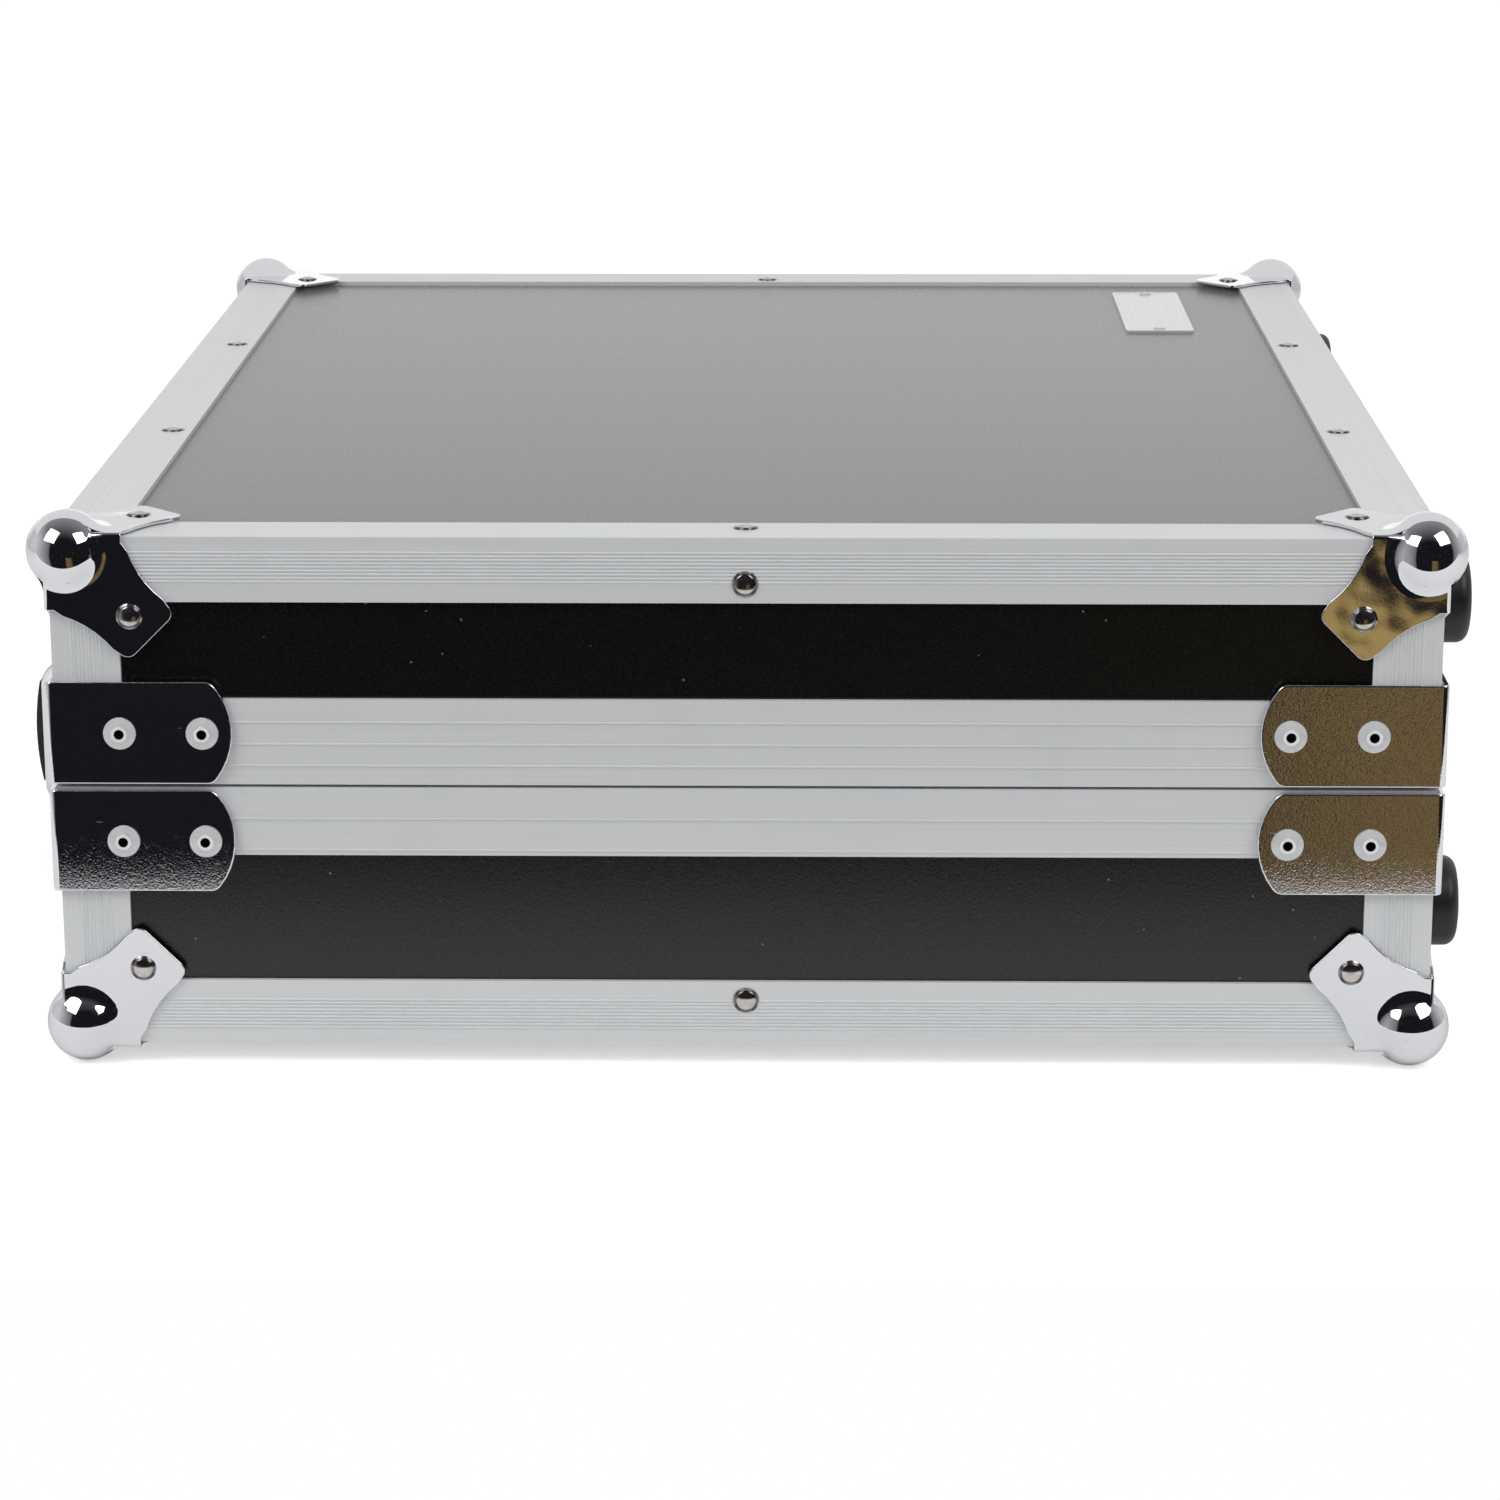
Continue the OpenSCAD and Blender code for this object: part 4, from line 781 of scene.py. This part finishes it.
@dataclass
class FoamLining:
    """The foam: a tray with a bay for the laptop, and a pad of raised points in the lid."""

    wall_mm: float = 22.0
    floor_mm: float = 20.0
    round_mm: float = 2.5
    round_steps: int = 4
    seam_mm: float = 0.3
    tray_fill: float = 0.95
    point_pitch_mm: float = 24.0
    point_height_mm: float = 11.0
    point_steps: int = 8
    edge_share: float = 1 / 12
    edge_drop: float = 0.15
    pad_fill: float = 0.9

    def slab(self, low: Vector, high: Vector) -> bmesh.types.BMesh:
        """Build a block of foam with rounded edges.

        Args:
            low: its lowest corner.
            high: its highest corner.

        Returns:
            The block's mesh.
        """
        block = bmesh.new()
        bmesh.ops.create_cube(block, size=1.0)
        size = high - low
        for vert in block.verts:
            vert.co = Vector((low[i] + (vert.co[i] + 0.5) * size[i] for i in range(3)))
        bmesh.ops.bevel(block, geom=list(block.edges), offset=self.round_mm * MM, segments=self.round_steps,
                        profile=0.5, affect="EDGES")
        return block

    def join(self, parts: Iterable[bmesh.types.BMesh]) -> bmesh.types.BMesh:
        """Put meshes together.

        Args:
            parts: the meshes, which are freed.

        Returns:
            One mesh that holds them all.
        """
        whole = bmesh.new()
        for part in parts:
            kept = bpy.data.meshes.new("part")
            part.to_mesh(kept)
            part.free()
            whole.from_mesh(kept)
            bpy.data.meshes.remove(kept)
        return whole

    def tray(self) -> Object:
        """Build the base's foam as a floor sheet and four glued strips.

        Returns:
            The tray.
        """
        low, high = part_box("base_foam")
        wall, gap, top = self.wall_mm * MM, self.seam_mm * MM, low.z + self.floor_mm * MM
        spans = [(low, Vector((high.x, high.y, top - gap)))]
        for first, last in ((low.y, low.y + wall), (high.y - wall, high.y)):
            spans.append((Vector((low.x, first, top)), Vector((high.x, last, high.z))))
        for first, last in ((low.x, low.x + wall), (high.x - wall, high.x)):
            spans.append((Vector((first, low.y + wall + gap, top)),
                          Vector((last, high.y - wall - gap, high.z))))
        slabs = self.join(self.slab(corner, opposite) for corner, opposite in spans)
        piece = mesh_piece("base_foam_tray", slabs, FOAM, "base")
        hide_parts("base_foam")
        return piece

    def rise(self, u: float, v: float, counts: list[int]) -> float:
        """Find how far the pad's lower face lies over the tips of its points.

        Args:
            u: the share of the way across the pad.
            v: the share of the way along it.
            counts: how many points there are each way.

        Returns:
            The height in metres.
        """
        wave = (math.sin(math.pi * u * counts[0]) * math.sin(math.pi * v * counts[1])) ** 2
        edge = min(1.0, min(u, 1 - u, v, 1 - v) / self.edge_share)
        return self.point_height_mm * MM * (1 - wave * edge - self.edge_drop * (1 - edge))

    def pad(self) -> Object:
        """Build the lid's foam as a sheet with rows of raised points on its lower face.

        Returns:
            The pad.
        """
        low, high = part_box("lid_foam")
        counts = [max(1, round((high[i] - low[i]) / (self.point_pitch_mm * MM))) for i in range(2)]
        steps = [count * self.point_steps for count in counts]
        built = bmesh.new()
        rows = []
        for v in (j / steps[1] for j in range(steps[1] + 1)):
            rows.append([built.verts.new((low.x + u * (high.x - low.x), low.y + v * (high.y - low.y),
                                          low.z + self.rise(u, v, counts)))
                         for u in (i / steps[0] for i in range(steps[0] + 1))])
        for row, after in zip(rows, rows[1:]):
            for i in range(steps[0]):
                built.faces.new((row[i], after[i], after[i + 1], row[i + 1]))
        rim = rows[0] + [r[-1] for r in rows[1:]] + rows[-1][-2::-1] + [r[0] for r in rows[-2:0:-1]]
        above = [built.verts.new((v.co.x, v.co.y, high.z)) for v in rim]
        for at, vert in enumerate(rim):
            after = (at + 1) % len(rim)
            built.faces.new((vert, rim[after], above[after], above[at]))
        built.faces.new(above)
        bmesh.ops.recalc_face_normals(built, faces=list(built.faces))
        piece = mesh_piece("lid_foam_pad", built, FOAM, "lid")
        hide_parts("lid_foam")
        return piece

    def build(self) -> list[Object]:
        """Build both pieces of foam and return them."""
        return [self.tray(), self.pad()]


@dataclass
class BadgePlate:
    """The bare plate near one corner of the lid, with a raised border and a rivet at each end."""

    centre_mm: Span = (159.2, 157.0)
    size_mm: Span = (25.0, 86.0)
    thick_mm: float = 0.9
    corner_mm: float = 1.6
    corner_steps: int = 4
    border_mm: float = 1.3
    border_slope_mm: float = 0.25
    sunk_mm: float = 0.25
    rivet_in_mm: float = 4.2
    rivet_mm: float = 2.3
    rivet_high_mm: float = 1.0
    rivet_around: int = 32
    rivet_rings: int = 16

    def outline(self) -> list[Span]:
        """Draw the plate's outline with rounded corners.

        Returns:
            Its places in metres.
        """
        half = [s / 2 * MM for s in self.size_mm]
        centre = [c * MM for c in self.centre_mm]
        r = self.corner_mm * MM
        ring = []
        for turn, (sx, sy) in enumerate(((1, 1), (-1, 1), (-1, -1), (1, -1))):
            for step in range(self.corner_steps + 1):
                angle = math.radians(90 * (turn + step / self.corner_steps))
                ring.append((centre[0] + sx * (half[0] - r) + r * math.cos(angle),
                             centre[1] + sy * (half[1] - r) + r * math.sin(angle)))
        return ring

    def plate(self, top: float) -> Object:
        """Build the plate.

        Args:
            top: the height of the lid's face.

        Returns:
            The plate.
        """
        built = bmesh.new()
        face = built.faces.new([built.verts.new((x, y, top)) for x, y in self.outline()])
        raised = bmesh.ops.extrude_face_region(built, geom=[face])["geom"]
        for vert in (g for g in raised if isinstance(g, bmesh.types.BMVert)):
            vert.co.z += self.thick_mm * MM
        upper = next(g for g in raised if isinstance(g, bmesh.types.BMFace))
        bmesh.ops.inset_region(built, faces=[upper], thickness=self.border_mm * MM)
        bmesh.ops.inset_region(built, faces=[upper], thickness=self.border_slope_mm * MM,
                               depth=-self.sunk_mm * MM)
        bmesh.ops.recalc_face_normals(built, faces=list(built.faces))
        return mesh_piece("lid_badge_plate", built, PLATE, "lid", smooth=False)

    def rivets(self, top: float) -> Object:
        """Build the two low domes that hold the plate.

        Args:
            top: the height of the lid's face.

        Returns:
            The rivets.
        """
        built = bmesh.new()
        size = Matrix.Diagonal((self.rivet_mm * MM, self.rivet_mm * MM, self.rivet_high_mm * MM, 1))
        for way in (-1, 1):
            y = (self.centre_mm[1] + way * (self.size_mm[1] / 2 - self.rivet_in_mm)) * MM
            dome = bmesh.ops.create_uvsphere(built, u_segments=self.rivet_around, v_segments=self.rivet_rings,
                                             radius=1.0)["verts"]
            place = Matrix.Translation((self.centre_mm[0] * MM, y, top + (self.thick_mm - self.sunk_mm) * MM))
            bmesh.ops.transform(built, matrix=place @ size, verts=dome)
        return mesh_piece("lid_badge_rivets", built, BLIND, "lid")

    def build(self) -> list[Object]:
        """Build the plate and its rivets on the lid's panel and return them."""
        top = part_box("lid_panel")[1].z
        return [self.plate(top), self.rivets(top)]


@dataclass
class MirroredRoom:
    """What metal sees of the room, by the direction it looks in.

    Behind the case is a white backdrop, grey walls stand on both sides, and the front is dark, with a
    brown floor on the right. Each ramp gives the directions over which one thing turns to the next.
    """

    dark: str = "#15161A"
    shapes: str = "#3C2F28"
    shape_scale: float = 7.0
    shape_detail: float = 2.0
    shape_tones: Ramp = Ramp(0.62, 0.68, 0.0, 0.5)
    floor: str = "#6A583B"
    floor_light: str = "#A48B57"
    floor_scale: float = 22.0
    floor_detail: float = 0.0
    floor_tones: Ramp = Ramp(0.4, 0.62)
    floor_far: Ramp = Ramp(-0.262, -0.248)
    floor_left: Ramp = Ramp(0.08, 0.11)
    floor_right: Ramp = Ramp(0.3, 0.4, 1.0, 0.0)
    floor_top: Ramp = Ramp(-0.22, -0.2, 1.0, 0.0)
    # The dark side reaches further round on the right, so the turn is measured askew.
    askew: Triple = (-0.25, 1.0, 0.0)
    dim_wall: str = "#A8A8A9"
    dim_wall_turn: Ramp = Ramp(-0.63, -0.55, 0.0, 0.4)
    wall: str = "#CACACB"
    wall_turn: Ramp = Ramp(-0.55, 0.25)
    ceiling: str = "#8E8E90"
    ceiling_ahead: Ramp = Ramp(-0.75, 0.4)
    ceiling_up: Ramp = Ramp(0.35, 0.75)
    backdrop_side: str = "#BFC0C3"
    backdrop_across: Ramp = Ramp(0.35, 0.8)
    backdrop_ahead: Ramp = Ramp(0.37, 0.41)

    def colour(self, tree: Tree) -> Source:
        """Draw the room.

        Args:
            tree: the world's node tree.

        Returns:
            The node that gives the colour in each direction.
        """
        ways = add_node(tree, "TexCoord").outputs["Generated"]
        split = add_node(tree, "SeparateXYZ", {0: ways}).outputs
        across, ahead, up = (split[name] for name in "XYZ")
        level = add_node(tree, "VectorMath", {"operation": "MULTIPLY", 0: ways, 1: (1, 1, 0)})
        level = add_node(tree, "VectorMath", {"operation": "NORMALIZE", 0: level})
        turn = add_node(tree, "VectorMath", {"operation": "DOT_PRODUCT", 0: level, 1: self.askew})
        shapes, lights = (add_node(tree, "TexNoise", {"Vector": ways, "Scale": scale, "Detail": detail})
                          for scale, detail in ((self.shape_scale, self.shape_detail),
                                                (self.floor_scale, self.floor_detail)))
        front = layered(tree, self.dark, (shapes, self.shape_tones, self.shapes))
        floor = layered(tree, self.dark, (lights, self.floor_tones, self.floor_light))
        floor = layered(tree, self.floor, (up, self.floor_far, floor))
        shown = add_node(tree, "MapRange", self.floor_left.of(across))
        for way, ramp in ((across, self.floor_right), (up, self.floor_top)):
            shown = add_node(tree, "Math", {"operation": "MULTIPLY", 0: shown,
                                            1: add_node(tree, "MapRange", ramp.of(way))})
        front = layered(tree, front, (shown, Ramp(), floor))
        beside = layered(tree, front, (turn, self.dim_wall_turn, self.dim_wall),
                         (turn, self.wall_turn, self.wall))
        above = layered(tree, front, (ahead, self.ceiling_ahead, self.ceiling))
        walls = layered(tree, beside, (up, self.ceiling_up, above))
        sideways = add_node(tree, "Math", {"operation": "ABSOLUTE", 0: across})
        behind = layered(tree, WHITE, (sideways, self.backdrop_across, self.backdrop_side))
        return layered(tree, walls, (ahead, self.backdrop_ahead, behind))


@dataclass
class Studio:
    """A white sheet with a plain soft light on each side, and the room round them."""

    sheet_front: float = -0.411
    sheet_back: float = 4.0
    sheet_half: float = 4.0
    sheet_drop_mm: float = 0.2
    paper: str = "#F1F1F1"
    paper_mottle: str = "#F4F4F4"
    paper_scale: float = 3.0
    camera_lift: float = 0.5
    card_low: float = 0.725
    card_front: float = 0.02
    card_back: float = 2.5
    card_half: float = 1.5
    card_level: float = 0.8
    lamp_side: float = 1.0
    lamp_watts: float = 11.0
    lamps: tuple[Triple, ...] = ((-1.1, -1.05, 1.34), (1.13, -1.0, 1.36))
    lamp_aim: Triple = (0.0, 0.0, 0.08)
    soft_level: float = 0.56
    mirror_level: float = 1.1
    mirrored: MirroredRoom = field(default_factory=MirroredRoom)

    def flat(self, name: str, paint: str, low: Span, high: Span, height: float) -> Object:
        """Lay a level sheet in the studio.

        Args:
            name: the sheet's name.
            paint: the name of its new material, which has no nodes yet.
            low: its left front corner.
            high: its right back corner.
            height: how high it lies.

        Returns:
            The sheet.
        """
        mesh = bpy.data.meshes.new(name)
        corners = ((low[0], low[1]), (high[0], low[1]), (high[0], high[1]), (low[0], high[1]))
        mesh.from_pydata([(x, y, height) for x, y in corners], [], [(0, 1, 2, 3)])
        material = bpy.data.materials.new(paint)
        material.use_nodes = True
        material.node_tree.nodes.clear()
        mesh.materials.append(material)
        sheet = bpy.data.objects.new(name, mesh)
        bpy.context.scene.collection.objects.link(sheet)
        return sheet

    def sheet(self) -> Object:
        """Build the white sheet under the case, white to the camera but for the case's shadow.

        Returns:
            The sheet.
        """
        sheet = self.flat("white_sheet", "white_paper", (-self.sheet_half, self.sheet_front),
                          (self.sheet_half, self.sheet_back), -self.sheet_drop_mm * MM)
        tree = sheet.active_material.node_tree
        at = add_node(tree, "TexCoord").outputs["Object"]
        mottle = add_node(tree, "TexNoise", {"Vector": at, "Scale": self.paper_scale})
        matt = add_node(tree, "BsdfDiffuse", {
            "Color": layered(tree, self.paper, (mottle, Ramp(), self.paper_mottle))})
        seen = add_node(tree, "LightPath").outputs["Is Camera Ray"]
        lift = add_node(tree, "MapRange", Ramp(to_high=self.camera_lift).of(seen))
        glow = add_node(tree, "Emission", {"Strength": lift})
        add_node(tree, "OutputMaterial", {"Surface": add_node(tree, "AddShader", {0: matt, 1: glow})})
        return sheet

    def card(self) -> Object:
        """Hang a white card over the back of the case, which only metal sees.

        Returns:
            The card.
        """
        card = self.flat("white_card", "lit_card", (-self.card_half, self.card_front),
                         (self.card_half, self.card_back), self.card_low)
        tree = card.active_material.node_tree
        glow = add_node(tree, "Emission", {"Color": WHITE, "Strength": self.card_level})
        add_node(tree, "OutputMaterial", {"Surface": glow})
        card.visible_camera = card.visible_diffuse = card.visible_shadow = False
        return card

    def light(self, name: str, place: Triple) -> Object:
        """Hang a square soft light.

        Args:
            name: the light's name.
            place: where it hangs.

        Returns:
            The light.
        """
        data = bpy.data.lights.new(name, "AREA")
        data.shape = "SQUARE"
        data.size = self.lamp_side
        data.energy = self.lamp_watts
        lamp = bpy.data.objects.new(name, data)
        lamp.location = place
        aim = Vector(self.lamp_aim) - Vector(place)
        lamp.rotation_mode = "QUATERNION"
        lamp.rotation_quaternion = aim.to_track_quat("-Z", "Y")
        bpy.context.scene.collection.objects.link(lamp)
        return lamp

    def room(self) -> None:
        """Make the room: white to the camera, plain soft light on the case, and its own picture in metal."""
        world = bpy.data.worlds.new("room")
        world.use_nodes = True
        bpy.context.scene.world = world
        tree = world.node_tree
        tree.nodes.clear()
        path = add_node(tree, "LightPath").outputs
        in_metal = add_node(tree, "Math", {"operation": "MAXIMUM", 0: path["Is Glossy Ray"],
                                           1: path["Is Transmission Ray"]})
        soft = add_node(tree, "Background", {"Color": WHITE, "Strength": self.soft_level})
        metal = add_node(tree, "Background", {"Color": self.mirrored.colour(tree),
                                              "Strength": self.mirror_level})
        white = add_node(tree, "Background", {"Color": WHITE, "Strength": 1.0})
        lit = add_node(tree, "MixShader", {0: in_metal, 1: soft, 2: metal})
        seen = add_node(tree, "MixShader", {0: path["Is Camera Ray"], 1: lit, 2: white})
        add_node(tree, "OutputWorld", {"Surface": seen})

    def build(self) -> list[Object]:
        """Build the sheet, the card, the lights and the room.

        Returns:
            The sheet, the card and the lights.
        """
        pieces = [self.sheet(), self.card()]
        pieces += [self.light(f"soft_light_{number}", place) for number, place in enumerate(self.lamps)]
        self.room()
        return pieces


@dataclass
class PhotoCamera:
    """The camera, fitted to the photograph's straight edges."""

    place: Triple = (0.03665, -1.476, 0.439)
    lens_mm: float = 104.376
    sensor_mm: float = 36.0
    yaw_deg: float = 1.05
    down_deg: float = 15.40
    roll_deg: float = -0.11
    sees: Span = (0.05, 50.0)

    def build(self) -> list[Object]:
        """Place the camera and make it the scene's.

        Returns:
            The camera.
        """
        data = bpy.data.cameras.new("photo_camera")
        data.lens = self.lens_mm
        data.sensor_width = self.sensor_mm
        data.clip_start, data.clip_end = self.sees
        camera = bpy.data.objects.new("photo_camera", data)
        yaw, down, roll = (math.radians(a) for a in (self.yaw_deg, self.down_deg, self.roll_deg))
        right = Vector((math.cos(yaw), math.sin(yaw), 0))
        ahead = Vector((-math.sin(yaw) * math.cos(down), math.cos(yaw) * math.cos(down), -math.sin(down)))
        up = right.cross(ahead)
        level = right * math.cos(roll) + up * math.sin(roll)
        upright = up * math.cos(roll) - right * math.sin(roll)
        turn = Matrix((level, upright, -ahead)).transposed()
        camera.matrix_world = Matrix.Translation(self.place) @ turn.to_4x4()
        bpy.context.scene.collection.objects.link(camera)
        bpy.context.scene.camera = camera
        return [camera]


def main() -> None:
    """Build the case's looks in order and report each piece."""
    logging.basicConfig(level=logging.INFO, format="%(name)s: %(message)s")
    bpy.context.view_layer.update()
    bpy.context.scene.view_settings.view_transform = "Standard"
    for group in (PhotoCamera(), Studio(), Panels(), Edging(), Hardware(), Fasteners(), RubberParts(),
                  FoamLining(), BadgePlate()):
        for piece in group.build():
            log.info("%s: %s", type(group).__name__, piece.name)


if __name__ == "__main__":
    main()
